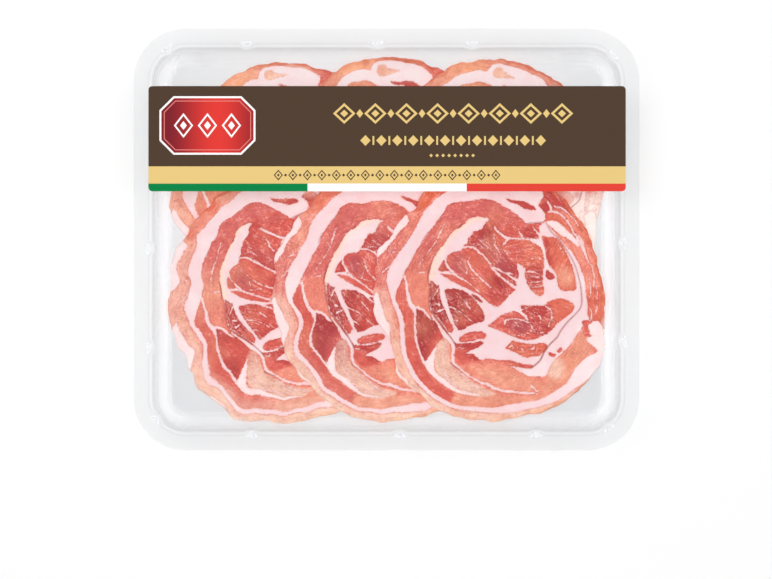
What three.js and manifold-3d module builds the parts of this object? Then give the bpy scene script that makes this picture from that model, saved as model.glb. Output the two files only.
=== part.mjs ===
// A sealed retail tray of sliced pancetta, lying flat with its label up.
// A shallow thermoformed tray holds six thin oval slices, shingled in two rows of three.
// A clear film closes the tray, and a printed band label is stuck across the film.
// Millimetres, +Z up, origin at the centre of the face that the tray rests on.
import * as THREE from "three";
import { ConvexGeometry } from "three/addons/geometries/ConvexGeometry.js";
import { mergeVertices } from "three/addons/utils/BufferGeometryUtils.js";
import Module from "manifold-3d";

const wasm = await Module();
wasm.setup();

// The tray: outer size, corner, height of the flange, and thickness of the formed sheet.
const TRAY_WIDTH = 253;
const TRAY_DEPTH = 211;
const TRAY_CORNER = 26;
const TRAY_HEIGHT = 15;
const SHEET = 0.6;
const CORNER_STEPS = 8;

// The clearance that keeps touching pieces apart.
const CLEAR = 0.3;

// The tray's section. First its rim, as distances in from the edge and down from the top: a
// flat flange, a narrow step and a shelf. Then a steep wall with some draft, down to a round
// foot that runs into the floor.
const TRAY_RIM = [
  [0, 0],
  [7, 0],
  [7.8, 0.9],
  [8.2, 1.4],
  [9.4, 1.6],
];
const WALL_DRAFT = THREE.MathUtils.degToRad(15);
const FOOT_RADIUS = 8;
const FOOT_STEPS = 5;
const FLOOR_INSET = 19;

// The small lugs on the shelf that keep stacked trays from jamming: their section, as distances
// in and heights, and the half widths of their roots in the sheet and of their blunt tips.
const LUG_ROOT = 4.4;
const LUG_TIP = 1.2;
const LUG_SECTION = [
  { inset: 6.3, height: 14.7, half: LUG_ROOT },
  { inset: 9.9, height: 14.3, half: LUG_TIP },
  { inset: 10.2, height: 12.4, half: LUG_TIP },
  { inset: 9.3, height: 12.7, half: LUG_ROOT },
  { inset: 7.5, height: 13.6, half: LUG_ROOT },
];
// Where the lugs are: along each side, and in each corner by its direction in degrees. They are
// placed unevenly, so that the lugs of a tray turned round never meet those of the next one.
const LUGS_ON_BACK = [-70, -4.5, 43];
const LUGS_ON_FRONT = [-67.5, 6.5, 75];
const LUGS_ON_LEFT = [-54, -4.5];
const LUGS_ON_RIGHT = [-51, -2];
const LUGS_IN_CORNERS = [44, 120, 215, 306];

// The film and the label.
const FILM_SHEET = 0.3;
const FILM_INSET = 0.4;
const LABEL_SHEET = 0.25;
const LABEL_CLEAR = 0.15;
const LABEL_WIDTH = 238.6;
const LABEL_DEPTH = 52.6;
const LABEL_CORNER = 2;
const LABEL_AT = [0.3, 50.4];

// The slices, from the lowest to the topmost: where each one's middle lies, and its turn in
// degrees. A slice's rim may climb the tray's round foot, but no nearer to the wall than this.
const SLICE_SHEET = 1.5;
const SLICE_CLIMB = 6.4;
const SLICES = [
  { name: "slice_back_left", at: [-50.7, 26.4], turn: -2 },
  { name: "slice_back_middle", at: [1.7, 28.2], turn: 1 },
  { name: "slice_back_right", at: [53.3, 26.9], turn: 0 },
  { name: "slice_front_left", at: [-52.7, -28.4], turn: 3 },
  { name: "slice_front_middle", at: [-0.4, -27.9], turn: 2 },
  { name: "slice_front_right", at: [51.2, -27.6], turn: 0 },
];
// The slice's radius every 15 degrees, anticlockwise from the right: a rolled slice is a
// flattened round with a dent on each side of its left rim and a fuller lower right.
const RIM_RADII = [
  58.7, 57.8, 59, 61, 62.8, 63.3, 63, 63.8, 62.2, 60, 56.2, 55.8,
  57.8, 57.3, 53.8, 58.8, 62.3, 64.2, 64, 64.3, 66.2, 66, 61.5, 58.2,
];
const RIM_STEPS = 72;
// The small uneven nicks of the cut: their depth, and how many of each size go round a rim.
const NICK_DEPTH = 0.55;
const NICK_COUNTS = [13, 21, 34];

// How a slice lies over the edge of the one beneath: the slope starts past the edge and runs out.
const DRAPE_CELL = 7;
const DRAPE_START = 3.5;
const DRAPE_RUN = 17;
// The low waves of a thin slice: their height and length, the first one's direction in
// radians, and how far that turns from one slice to the next.
const WAVE_HEIGHT = 0.45;
const WAVE_LENGTH = 46;
const WAVE_TURN = 0.9;
const WAVE_TURN_STEP = 1.3;

const smoothStep = (t) => {
  const s = Math.min(1, Math.max(0, t));
  return s * s * (3 - 2 * s);
};

// The upper face of the tray, from the flange's edge in to the floor: how far in, and how high.
function traySection() {
  const section = TRAY_RIM.map(([inset, depth]) => [inset, TRAY_HEIGHT - depth]);
  for (let step = 0; step <= FOOT_STEPS; step++) {
    const angle = (Math.PI / 2 - WALL_DRAFT) * (1 - step / FOOT_STEPS);
    section.push([
      FLOOR_INSET - FOOT_RADIUS * Math.sin(angle),
      SHEET + FOOT_RADIUS * (1 - Math.cos(angle)),
    ]);
  }
  return section;
}

const TRAY_SECTION = traySection();

// Closed solids in and out of the boolean library.
function solidFrom(geometry) {
  const bare = new THREE.BufferGeometry();
  bare.setAttribute("position", geometry.getAttribute("position"));
  if (geometry.index) bare.setIndex(geometry.index);
  const merged = mergeVertices(bare, 1e-4);
  return new wasm.Manifold(
    new wasm.Mesh({
      numProp: 3,
      vertProperties: new Float32Array(merged.attributes.position.array),
      triVerts: new Uint32Array(merged.index.array),
    }),
  );
}

function geometryFrom(solid) {
  const mesh = solid.getMesh();
  const geometry = new THREE.BufferGeometry();
  const positions = new Float32Array(mesh.numVert * 3);
  for (let i = 0; i < mesh.numVert; i++) {
    const at = i * mesh.numProp;
    positions.set(mesh.vertProperties.subarray(at, at + 3), i * 3);
  }
  geometry.setAttribute("position", new THREE.BufferAttribute(positions, 3));
  geometry.setIndex(new THREE.BufferAttribute(new Uint32Array(mesh.triVerts), 1));
  geometry.computeVertexNormals();
  return geometry;
}

// The corners of a rounded rectangle, anticlockwise, set in from the tray's outline.
function roundedRing(width, depth, corner, inset) {
  const radius = corner - inset;
  const ring = [];
  for (let quarter = 0; quarter < 4; quarter++) {
    const sideX = quarter === 0 || quarter === 3 ? 1 : -1;
    const sideY = quarter < 2 ? 1 : -1;
    for (let step = 0; step <= CORNER_STEPS; step++) {
      const angle = ((quarter + step / CORNER_STEPS) * Math.PI) / 2;
      ring.push([
        sideX * (width / 2 - corner) + radius * Math.cos(angle),
        sideY * (depth / 2 - corner) + radius * Math.sin(angle),
      ]);
    }
  }
  return ring;
}

// The under face of a formed sheet: the profile moved along its own normals.
function underProfile(profile, thickness) {
  return profile.map(([inset, height], i) => {
    const before = profile[Math.max(0, i - 1)];
    const after = profile[Math.min(profile.length - 1, i + 1)];
    if (i === 0 || i === profile.length - 1) return [inset, height - thickness];
    const run = after[0] - before[0];
    const rise = after[1] - before[1];
    const length = Math.hypot(run, rise);
    return [inset + (rise / length) * thickness, height - (run / length) * thickness];
  });
}

// A solid swept round a rounded rectangle: the upper profile inwards, then the under one back out.
function trayShell() {
  const under = underProfile(TRAY_SECTION, SHEET);
  const loop = [...TRAY_SECTION, ...under.reverse()];
  const rings = loop.map(([inset]) => roundedRing(TRAY_WIDTH, TRAY_DEPTH, TRAY_CORNER, inset));
  const count = rings[0].length;
  const positions = [];
  rings.forEach((ring, level) => {
    for (const [x, y] of ring) positions.push(x, y, loop[level][1]);
  });
  const index = [];
  const floorTop = TRAY_SECTION.length - 1;
  for (let level = 0; level < loop.length; level++) {
    if (level === floorTop) continue;
    const next = (level + 1) % loop.length;
    for (let i = 0; i < count; i++) {
      const j = (i + 1) % count;
      const a = level * count + i;
      const b = level * count + j;
      const c = next * count + j;
      const d = next * count + i;
      index.push(a, b, c, a, c, d);
    }
  }
  // The floor's two faces are fans from their first corner.
  for (let i = 1; i < count - 1; i++) {
    const top = floorTop * count;
    const foot = (floorTop + 1) * count;
    index.push(top, top + i, top + i + 1);
    index.push(foot, foot + i + 1, foot + i);
  }
  const geometry = new THREE.BufferGeometry();
  geometry.setAttribute("position", new THREE.Float32BufferAttribute(positions, 3));
  geometry.setIndex(index);
  return geometry;
}

// A lug: the convex body round the points of its section, which a function places.
function lugSolid(placed) {
  const points = [];
  for (const { inset, height, half } of LUG_SECTION) {
    for (const side of [-half, half]) {
      points.push(new THREE.Vector3(...placed(inset, side), height));
    }
  }
  return solidFrom(new ConvexGeometry(points));
}

// A function that places a corner's lug, which bends with the rim.
function inCorner(degrees) {
  const middle = THREE.MathUtils.degToRad(degrees);
  const x = Math.sign(Math.cos(middle)) * (TRAY_WIDTH / 2 - TRAY_CORNER);
  const y = Math.sign(Math.sin(middle)) * (TRAY_DEPTH / 2 - TRAY_CORNER);
  return (inset, side) => {
    const radius = TRAY_CORNER - inset;
    const angle = middle + side / radius;
    return [x + radius * Math.cos(angle), y + radius * Math.sin(angle)];
  };
}

function lugSolids() {
  const [halfWidth, halfDepth] = [TRAY_WIDTH / 2, TRAY_DEPTH / 2];
  return [
    ...LUGS_ON_BACK.map((x) => lugSolid((inset, side) => [x + side, halfDepth - inset])),
    ...LUGS_ON_FRONT.map((x) => lugSolid((inset, side) => [x + side, inset - halfDepth])),
    ...LUGS_ON_LEFT.map((y) => lugSolid((inset, side) => [inset - halfWidth, y + side])),
    ...LUGS_ON_RIGHT.map((y) => lugSolid((inset, side) => [halfWidth - inset, y + side])),
    ...LUGS_IN_CORNERS.map((degrees) => lugSolid(inCorner(degrees))),
  ];
}

function trayGeometry() {
  let tray = solidFrom(trayShell());
  for (const lug of lugSolids()) tray = tray.add(lug);
  return geometryFrom(tray);
}

// A flat plate with round corners, standing on z = 0.
function plateGeometry(width, depth, corner, thickness) {
  const outline = roundedRing(width, depth, corner, 0).map(([x, y]) => new THREE.Vector2(x, y));
  return new THREE.ExtrudeGeometry(new THREE.Shape(outline), {
    depth: thickness,
    bevelEnabled: false,
  });
}

// How far a point lies inside the tray's outline.
function insetAt(x, y) {
  const overX = Math.abs(x) - (TRAY_WIDTH / 2 - TRAY_CORNER);
  const overY = Math.abs(y) - (TRAY_DEPTH / 2 - TRAY_CORNER);
  const beyond = Math.hypot(Math.max(overX, 0), Math.max(overY, 0));
  return TRAY_CORNER - beyond - Math.min(Math.max(overX, overY), 0);
}

// The height of the tray's floor and round foot at a point. Past the steepest place that a
// slice can lie on, it goes on at the same slope.
function footHeight(x, y) {
  const climb = Math.max(0, FLOOR_INSET - insetAt(x, y));
  const onFoot = Math.min(climb, SLICE_CLIMB);
  const level = Math.sqrt(FOOT_RADIUS ** 2 - onFoot ** 2);
  return SHEET + FOOT_RADIUS - level + ((climb - onFoot) * onFoot) / level;
}

// The slice's radius in a direction: a smooth closed curve through the radii of its rim.
function rimRadius(slice, angle) {
  const turned = angle - THREE.MathUtils.degToRad(slice.turn);
  const count = RIM_RADII.length;
  const along = (((turned / (2 * Math.PI)) % 1) + 1) % 1;
  const place = along * count;
  const first = Math.floor(place);
  const t = place - first;
  const [p0, p1, p2, p3] = [-1, 0, 1, 2].map((k) => RIM_RADII[(first + k + count) % count]);
  const bend = 2 * p0 - 5 * p1 + 4 * p2 - p3;
  return p1 + 0.5 * t * (p2 - p0 + t * (bend + t * (3 * (p1 - p2) + p3 - p0)));
}

// How far the nicks move the rim in a direction: waves whose phases differ from slice to slice.
function nick(number, angle) {
  const waves = NICK_COUNTS.map((count) => Math.sin(count * (angle + number + 1)));
  return (NICK_DEPTH * waves.reduce((sum, wave) => sum + wave)) / waves.length;
}

// How fully a slice lies beneath a point: 1 on it and just past its rim, then smoothly down to 0.
function cover(slice, x, y) {
  const dx = x - slice.at[0];
  const dy = y - slice.at[1];
  const past = Math.hypot(dx, dy) - rimRadius(slice, Math.atan2(dy, dx));
  return 1 - smoothStep((past - DRAPE_START) / DRAPE_RUN);
}

// The low waves of one slice, never below zero, so that no slice sinks into the one beneath.
function waveHeight(number, x, y) {
  const turn = WAVE_TURN + WAVE_TURN_STEP * number;
  const along = (x * Math.cos(turn) + y * Math.sin(turn)) / WAVE_LENGTH;
  return (WAVE_HEIGHT * (1 + Math.sin(2 * Math.PI * along + number))) / 2;
}

// The height of a slice's under face: the tray, and then every slice that lies beneath it.
function restHeight(number, x, y) {
  let height = footHeight(x, y) + CLEAR;
  for (let below = 0; below < number; below++) {
    const raised = SLICE_SHEET + CLEAR + waveHeight(below, x, y);
    height += raised * cover(SLICES[below], x, y);
  }
  return height;
}

// A draped sheet over the square that holds the slice, on one grid that all slices share.
function drapedSheet(number) {
  const [atX, atY] = SLICES[number].at;
  const reach = Math.max(...RIM_RADII) + DRAPE_CELL;
  const [lowX, lowY] = [atX, atY].map((v) => Math.floor((v - reach) / DRAPE_CELL));
  const [highX, highY] = [atX, atY].map((v) => Math.ceil((v + reach) / DRAPE_CELL));
  const across = highX - lowX + 1;
  const up = highY - lowY + 1;
  const positions = [];
  for (const lift of [0, SLICE_SHEET]) {
    for (let j = 0; j < up; j++) {
      for (let i = 0; i < across; i++) {
        const x = (lowX + i) * DRAPE_CELL;
        const y = (lowY + j) * DRAPE_CELL;
        positions.push(x, y, restHeight(number, x, y) + lift);
      }
    }
  }
  const layer = across * up;
  const index = [];
  for (let j = 0; j < up - 1; j++) {
    for (let i = 0; i < across - 1; i++) {
      const a = j * across + i;
      const [b, c, d] = [a + 1, a + 1 + across, a + across];
      index.push(a, c, b, a, d, c);
      index.push(layer + a, layer + b, layer + c, layer + a, layer + c, layer + d);
    }
  }
  const edge = [];
  for (let i = 0; i < across - 1; i++) edge.push(i);
  for (let j = 0; j < up - 1; j++) edge.push(j * across + across - 1);
  for (let i = across - 1; i > 0; i--) edge.push((up - 1) * across + i);
  for (let j = up - 1; j > 0; j--) edge.push(j * across);
  edge.forEach((a, k) => {
    const b = edge[(k + 1) % edge.length];
    index.push(a, b, layer + b, a, layer + b, layer + a);
  });
  const geometry = new THREE.BufferGeometry();
  geometry.setAttribute("position", new THREE.Float32BufferAttribute(positions, 3));
  geometry.setIndex(index);
  return solidFrom(geometry);
}

// One slice: the draped sheet, cut by an upright wall of the slice's outline.
function sliceGeometry(number) {
  const slice = SLICES[number];
  const outline = [];
  for (let k = 0; k < RIM_STEPS; k++) {
    const angle = (2 * Math.PI * k) / RIM_STEPS;
    const radius = rimRadius(slice, angle) + nick(number, angle);
    outline.push(
      new THREE.Vector2(
        slice.at[0] + radius * Math.cos(angle),
        slice.at[1] + radius * Math.sin(angle),
      ),
    );
  }
  const cutter = new THREE.ExtrudeGeometry(new THREE.Shape(outline), {
    depth: 2 * TRAY_HEIGHT,
    bevelEnabled: false,
  });
  return geometryFrom(drapedSheet(number).intersect(solidFrom(cutter)));
}

const trayPlastic = new THREE.MeshStandardMaterial({
  color: 0xeeeef0,
  roughness: 0.25,
  metalness: 0,
  transparent: true,
  opacity: 0.5,
});
const filmPlastic = new THREE.MeshStandardMaterial({
  color: 0xffffff,
  roughness: 0.1,
  metalness: 0,
  transparent: true,
  opacity: 0.12,
});
const labelPaper = new THREE.MeshStandardMaterial({
  color: 0x544234,
  roughness: 0.55,
  metalness: 0,
});
const curedMeat = new THREE.MeshStandardMaterial({
  color: 0xdd8070,
  roughness: 0.45,
  metalness: 0,
});

function named(name, geometry, material) {
  const mesh = new THREE.Mesh(geometry, material);
  mesh.name = name;
  return mesh;
}

const pack = new THREE.Group();
pack.add(named("tray", trayGeometry(), trayPlastic));
SLICES.forEach((slice, number) => {
  pack.add(named(slice.name, sliceGeometry(number), curedMeat));
});

const film = named(
  "film",
  plateGeometry(
    TRAY_WIDTH - 2 * FILM_INSET,
    TRAY_DEPTH - 2 * FILM_INSET,
    TRAY_CORNER - FILM_INSET,
    FILM_SHEET,
  ),
  filmPlastic,
);
film.position.z = TRAY_HEIGHT + CLEAR;
pack.add(film);

const label = named(
  "label",
  plateGeometry(LABEL_WIDTH, LABEL_DEPTH, LABEL_CORNER, LABEL_SHEET),
  labelPaper,
);
label.position.set(...LABEL_AT, film.position.z + FILM_SHEET + LABEL_CLEAR);
pack.add(label);

export default pack;
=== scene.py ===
# %% [markdown]
# # A sealed tray of sliced rolled pancetta
#
# Six thin slices of a rolled, cured belly lie shingled in two rows in a shallow clear tray, under
# a clear film with a printed band label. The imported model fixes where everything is. This lesson
# gives each piece its fine shape and its finish: the meat first, because the eye goes there, and
# then the tray, the film and the label.

# %% Load the fixed frame
import math

import bmesh
import bpy
import numpy as np
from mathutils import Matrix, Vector
from mathutils.bvhtree import BVHTree


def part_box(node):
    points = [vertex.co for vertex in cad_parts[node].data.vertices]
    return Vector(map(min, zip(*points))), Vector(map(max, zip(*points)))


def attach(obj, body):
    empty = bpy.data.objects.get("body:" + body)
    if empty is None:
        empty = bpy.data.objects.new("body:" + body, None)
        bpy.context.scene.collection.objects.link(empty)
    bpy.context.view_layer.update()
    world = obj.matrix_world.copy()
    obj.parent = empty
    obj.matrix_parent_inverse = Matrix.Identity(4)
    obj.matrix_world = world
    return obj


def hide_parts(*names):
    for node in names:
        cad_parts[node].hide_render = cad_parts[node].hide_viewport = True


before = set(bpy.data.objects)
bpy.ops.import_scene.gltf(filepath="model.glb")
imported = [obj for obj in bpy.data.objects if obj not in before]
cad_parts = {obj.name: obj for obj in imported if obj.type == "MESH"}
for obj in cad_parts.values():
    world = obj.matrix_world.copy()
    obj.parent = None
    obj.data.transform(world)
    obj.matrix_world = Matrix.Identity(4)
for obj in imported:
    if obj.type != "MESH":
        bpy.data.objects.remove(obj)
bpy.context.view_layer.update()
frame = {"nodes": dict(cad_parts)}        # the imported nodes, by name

MM = 0.001
SEED = 11
print("nodes:", ", ".join(frame["nodes"]))

# %% [markdown]
# ## The camera
#
# A pack shot is taken from straight above with a long lens, so that the walls of the tray hardly
# show. One pixel of the picture is half a millimetre at the height of the film, and the pack lies
# a little above the middle of the picture. The distance follows from the lens: a longer lens
# further away would show the same pack with still less perspective.

# %% Set the camera above the pack
PICTURE_WIDTH = 772
MM_PER_PIXEL = 0.5
PICTURE_MIDDLE = (-0.25, -25.0)
LENS = 120.0
SENSOR = 36.0
SIGHT = 100.0


def camera_above(middle, level):
    """A camera that looks straight down on a point, with the picture's width at that level."""
    data = bpy.data.cameras.new("camera")
    data.lens = LENS
    data.sensor_width = SENSOR
    data.clip_end = SIGHT
    distance = LENS / SENSOR * PICTURE_WIDTH * MM_PER_PIXEL
    camera = bpy.data.objects.new("camera", data)
    camera.location = Vector((middle[0], middle[1], level + distance)) * MM
    bpy.context.scene.collection.objects.link(camera)
    bpy.context.scene.camera = camera
    return distance


FILM_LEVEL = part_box("film")[1].z / MM
print("camera distance, mm:", round(camera_above(PICTURE_MIDDLE, FILM_LEVEL)))

# %% [markdown]
# ## Floor and light
#
# The pack was shot on white with light from all round. A white floor and a bright white world
# give that, and two large soft lamps add just enough direction for the rims of the slices and
# the steps of the tray to show. A third lamp straight above throws no shadow and shows in no
# gloss: it stands for the light that a clear tray on white passes on into its own corners. The
# Standard view keeps the colours as they are mixed, where the default view would grey them.

# %% A small way to write materials
def linear(red, green, blue):
    """A colour as a screen shows it, 0 to 255, turned into the light that Blender mixes."""
    def channel(shown):
        part = shown / 255
        return part / 12.92 if part <= 0.04045 else ((part + 0.055) / 1.055) ** 2.4
    return (channel(red), channel(green), channel(blue), 1.0)


class Value:
    """One socket of a material. An expression on values adds the Math nodes that work it out."""

    def __init__(self, finish, socket):
        self.finish = finish
        self.socket = socket

    def math(self, operation, *values):
        numbered = dict(enumerate(values))
        return self.finish.node("ShaderNodeMath", {"operation": operation}, numbered)

    def __add__(self, other):
        return self.math("ADD", self, other)

    def __sub__(self, other):
        return self.math("SUBTRACT", self, other)

    def __rsub__(self, other):
        return self.math("SUBTRACT", other, self)

    def __mul__(self, other):
        return self.math("MULTIPLY", self, other)

    def __truediv__(self, other):
        return self.math("DIVIDE", self, other)

    def __abs__(self):
        return self.math("ABSOLUTE", self)

    __radd__ = __add__
    __rmul__ = __mul__

    def fraction(self):
        return self.math("FRACT", self)

    def larger(self, other):
        return self.math("MAXIMUM", self, other)

    def smaller(self, other):
        return self.math("MINIMUM", self, other)

    def rise(self, low, high):
        """0 below low, 1 above high, and a smooth step between them."""
        return self.finish.node(
            "ShaderNodeMapRange",
            {"interpolation_type": "SMOOTHSTEP"},
            {"Value": self, "From Min": low, "From Max": high},
        )

    def within(self, limit, soft):
        """1 where the value is under the limit and 0 past it, with a soft edge."""
        return 1 - self.rise(limit - soft, limit + soft)


class Finish:
    """A material under construction, with one method that adds any node."""

    def __init__(self, name):
        self.material = bpy.data.materials.new(name)
        self.material.use_nodes = True
        self.tree = self.material.node_tree
        self.tree.nodes.clear()

    def node(self, kind, settings=None, inputs=None, output=0):
        node = self.tree.nodes.new(kind)
        for name, setting in (settings or {}).items():
            setattr(node, name, setting)
        for key, value in (inputs or {}).items():
            named = [socket for socket in node.inputs if socket.enabled and socket.name == key]
            socket = node.inputs[key] if isinstance(key, int) else named[0]
            if isinstance(value, Value):
                self.tree.links.new(value.socket, socket)
            else:
                socket.default_value = value
        shown = [socket for socket in node.outputs if socket.enabled]
        if not shown:
            return None
        named = [socket for socket in shown if socket.name == output]
        return Value(self, named[0] if named else shown[output])

    def place(self):
        """The point on the object, in metres."""
        return self.node("ShaderNodeTexCoord", output="Object")

    def parts(self, vector):
        """The three parts of a vector."""
        node = self.node("ShaderNodeSeparateXYZ", inputs={"Vector": vector}).socket.node
        return [Value(self, socket) for socket in node.outputs]

    def attribute(self, name, output="Fac"):
        return self.node("ShaderNodeAttribute", {"attribute_name": name}, output=output)

    def noise(self, vector, scale, detail=3.0, roughness=0.5):
        """Even noise about 0, between -0.5 and 0.5."""
        inputs = {"Vector": vector, "Scale": scale, "Detail": detail, "Roughness": roughness}
        return self.node("ShaderNodeTexNoise", inputs=inputs, output="Fac") - 0.5

    def mix(self, first, second, share, blend="MIX"):
        """A colour between two others."""
        settings = {"data_type": "RGBA", "blend_type": blend}
        inputs = {"Factor": share, "A": first, "B": second}
        return self.node("ShaderNodeMix", settings, inputs)

    def bump(self, height, distance):
        inputs = {"Height": height, "Distance": distance}
        return self.node("ShaderNodeBump", inputs=inputs, output="Normal")

    def finished(self, **inputs):
        """Closes the material with one Principled surface."""
        named = {name.replace("_", " "): value for name, value in inputs.items()}
        surface = self.node("ShaderNodeBsdfPrincipled", inputs=named)
        self.node("ShaderNodeOutputMaterial", inputs={"Surface": surface})
        return self.material


print("a red shown as 198 is mixed as", round(linear(198, 66, 60)[0], 3))

# %% Lay the floor and hang the lamps
FLOOR_REACH = 12.0
FLOOR_DROP = 0.0003
FLOOR_WHITE = (0.93, 0.93, 0.93, 1.0)
FLOOR_ROUGHNESS = 0.9
WORLD_STRENGTH = 0.29
LAMPS = {
    "window_left": {"place": (-1.1, 0.4, 1.5), "size": 1.1, "watts": 6.5},
    "window_right": {"place": (1.2, 0.1, 1.4), "size": 1.1, "watts": 4.0},
    "fill_above": {"place": (0.0, 0.0, 1.6), "size": 1.2, "watts": 18.2},
}


def white_floor():
    sheet = bmesh.new()
    bmesh.ops.create_grid(sheet, x_segments=2, y_segments=2, size=FLOOR_REACH)
    bmesh.ops.translate(sheet, vec=(0, 0, -FLOOR_DROP), verts=sheet.verts)
    mesh = bpy.data.meshes.new("floor")
    sheet.to_mesh(mesh)
    sheet.free()
    finish = Finish("floor_white")
    mesh.materials.append(finish.finished(Base_Color=FLOOR_WHITE, Roughness=FLOOR_ROUGHNESS))
    floor = bpy.data.objects.new("floor", mesh)
    bpy.context.scene.collection.objects.link(floor)


def lamp(name, place, size, watts):
    """A square lamp that faces the middle of the pack."""
    data = bpy.data.lights.new(name, "AREA")
    data.shape = "SQUARE"
    data.size = size
    data.energy = watts
    light = bpy.data.objects.new(name, data)
    light.location = place
    light.rotation_euler = (-Vector(place)).to_track_quat("-Z", "Y").to_euler()
    bpy.context.scene.collection.objects.link(light)
    return light


def bright_world():
    world = bpy.data.worlds.new("white_room")
    world.use_nodes = True
    sky = world.node_tree.nodes["Background"].inputs
    sky["Color"].default_value = (1, 1, 1, 1)
    sky["Strength"].default_value = WORLD_STRENGTH
    bpy.context.scene.world = world


white_floor()
bright_world()
lamps = {name: lamp(name, **values) for name, values in LAMPS.items()}
lamps["fill_above"].data.use_shadow = False
lamps["fill_above"].visible_glossy = False
bpy.context.scene.view_settings.view_transform = "Standard"
print("lamps:", ", ".join(lamps))


# %% [markdown]
# ## A chart of the slice
#
# A rolled pancetta is a flat belly wrapped round a neck muscle. So a slice shows, from outside
# in, an orange rim, a thick band of back fat, a layer of lean, and then the round neck with its
# dark muscles parted by veins of fat. All the slices come from one roll, so one chart serves them
# all. It could be painted as an image, but here it is drawn: each muscle is a smooth outline, each
# vein a course with widths, in millimetres from the middle of the slice. The chart keeps a signed
# distance to the nearest edge between fat and lean, so the material can fray that edge later.

# %% Smooth curves and distances
CHART_REACH = 69.0
CHART_CELL = 0.3
CURVE_STEPS = 5
WINDOW_MARGIN = 5.0
DEEPEST = 4.0
TINY = 1e-9


def smooth(value, low, high):
    part = np.clip((value - low) / (high - low), 0, 1)
    return part * part * (3 - 2 * part)


def curve_through(knots, closed):
    """A smooth curve through given points; every column is blended alike."""
    knots = np.asarray(knots, float)
    if closed:
        padded = np.vstack([knots[-1:], knots, knots[:2]])
    else:
        padded = np.vstack([2 * knots[0] - knots[1], knots, 2 * knots[-1] - knots[-2]])
    spans = len(padded) - 3
    before, start, end, after = (padded[k : k + spans, None] for k in range(4))
    t = (np.arange(CURVE_STEPS) / CURVE_STEPS)[None, :, None]
    bend = 2 * before - 5 * start + 4 * end - after
    turn = 3 * (start - end) + after - before
    curve = start + 0.5 * t * (end - before + t * (bend + t * turn))
    curve = curve.reshape(-1, knots.shape[1])
    return curve if closed else np.vstack([curve, knots[-1:]])


def distance_to(u, v, curve, closed):
    """How far points are from a curve, and the last column's value at the nearest place."""
    starts = curve if closed else curve[:-1]
    ends = np.roll(curve, -1, axis=0) if closed else curve[1:]
    nearest = np.full(u.shape, np.inf)
    width = np.zeros(u.shape)
    for start, end in zip(starts, ends):
        run, rise = end[0] - start[0], end[1] - start[1]
        length = run * run + rise * rise + TINY
        part = np.clip(((u - start[0]) * run + (v - start[1]) * rise) / length, 0, 1)
        away = np.hypot(u - start[0] - part * run, v - start[1] - part * rise)
        closer = away < nearest
        nearest = np.where(closer, away, nearest)
        width = np.where(closer, start[-1] + (end[-1] - start[-1]) * part, width)
    return nearest, width


def depth_inside(u, v, curve):
    """How deep points lie inside a closed curve; negative outside it."""
    inside = np.zeros(u.shape, bool)
    for start, end in zip(curve, np.roll(curve, -1, axis=0)):
        if start[1] == end[1]:
            continue
        crossing = start[0] + (v - start[1]) * (end[0] - start[0]) / (end[1] - start[1])
        inside ^= ((start[1] > v) != (end[1] > v)) & (u < crossing)
    away, _ = distance_to(u, v, curve, True)
    return np.where(inside, away, -away)


print("points on a curve through 3 knots:", len(curve_through([(0, 0), (1, 0), (1, 1)], True)))

# %% The chart and its brushes
TONES = {
    "rind": linear(226, 98, 60),
    "rim": linear(248, 205, 184),
    "salmon": linear(240, 142, 120),
    "arch": linear(218, 106, 98),
    "rosy": linear(226, 120, 108),
    "coral": linear(220, 94, 80),
    "red": linear(198, 66, 60),
    "deep": linear(176, 46, 48),
    "mauve": linear(194, 82, 84),
    "orange": linear(226, 110, 84),
    "peach": linear(240, 160, 132),
    "blush": linear(246, 190, 172),
    "straw": linear(244, 200, 178),
    "white": linear(247, 218, 221),
    "milk": linear(252, 234, 234),
    "apricot": linear(252, 178, 134),
    "shell": linear(252, 206, 182),
    "pale": linear(252, 229, 228),
    "cream": linear(252, 223, 205),
    "flesh": linear(242, 182, 162),
    "ivory": linear(255, 246, 238),
}
EDGE, SEAM, MARBLING, ALONG, ACROSS = range(5)
LEAN, FAT = slice(5, 8), slice(8, 11)
FAT_BLEND = (-1.0, 0.5)
LEAN_BLEND = (-1.2, -0.2)
GRAIN_FROM = -0.6
GAP_CORE = 0.3


def painted(tone, axes):
    """A tone's red, green and blue, shaped to blend with values on so many axes."""
    return np.reshape(TONES[tone][:3], (3,) + (1,) * axes)


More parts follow.
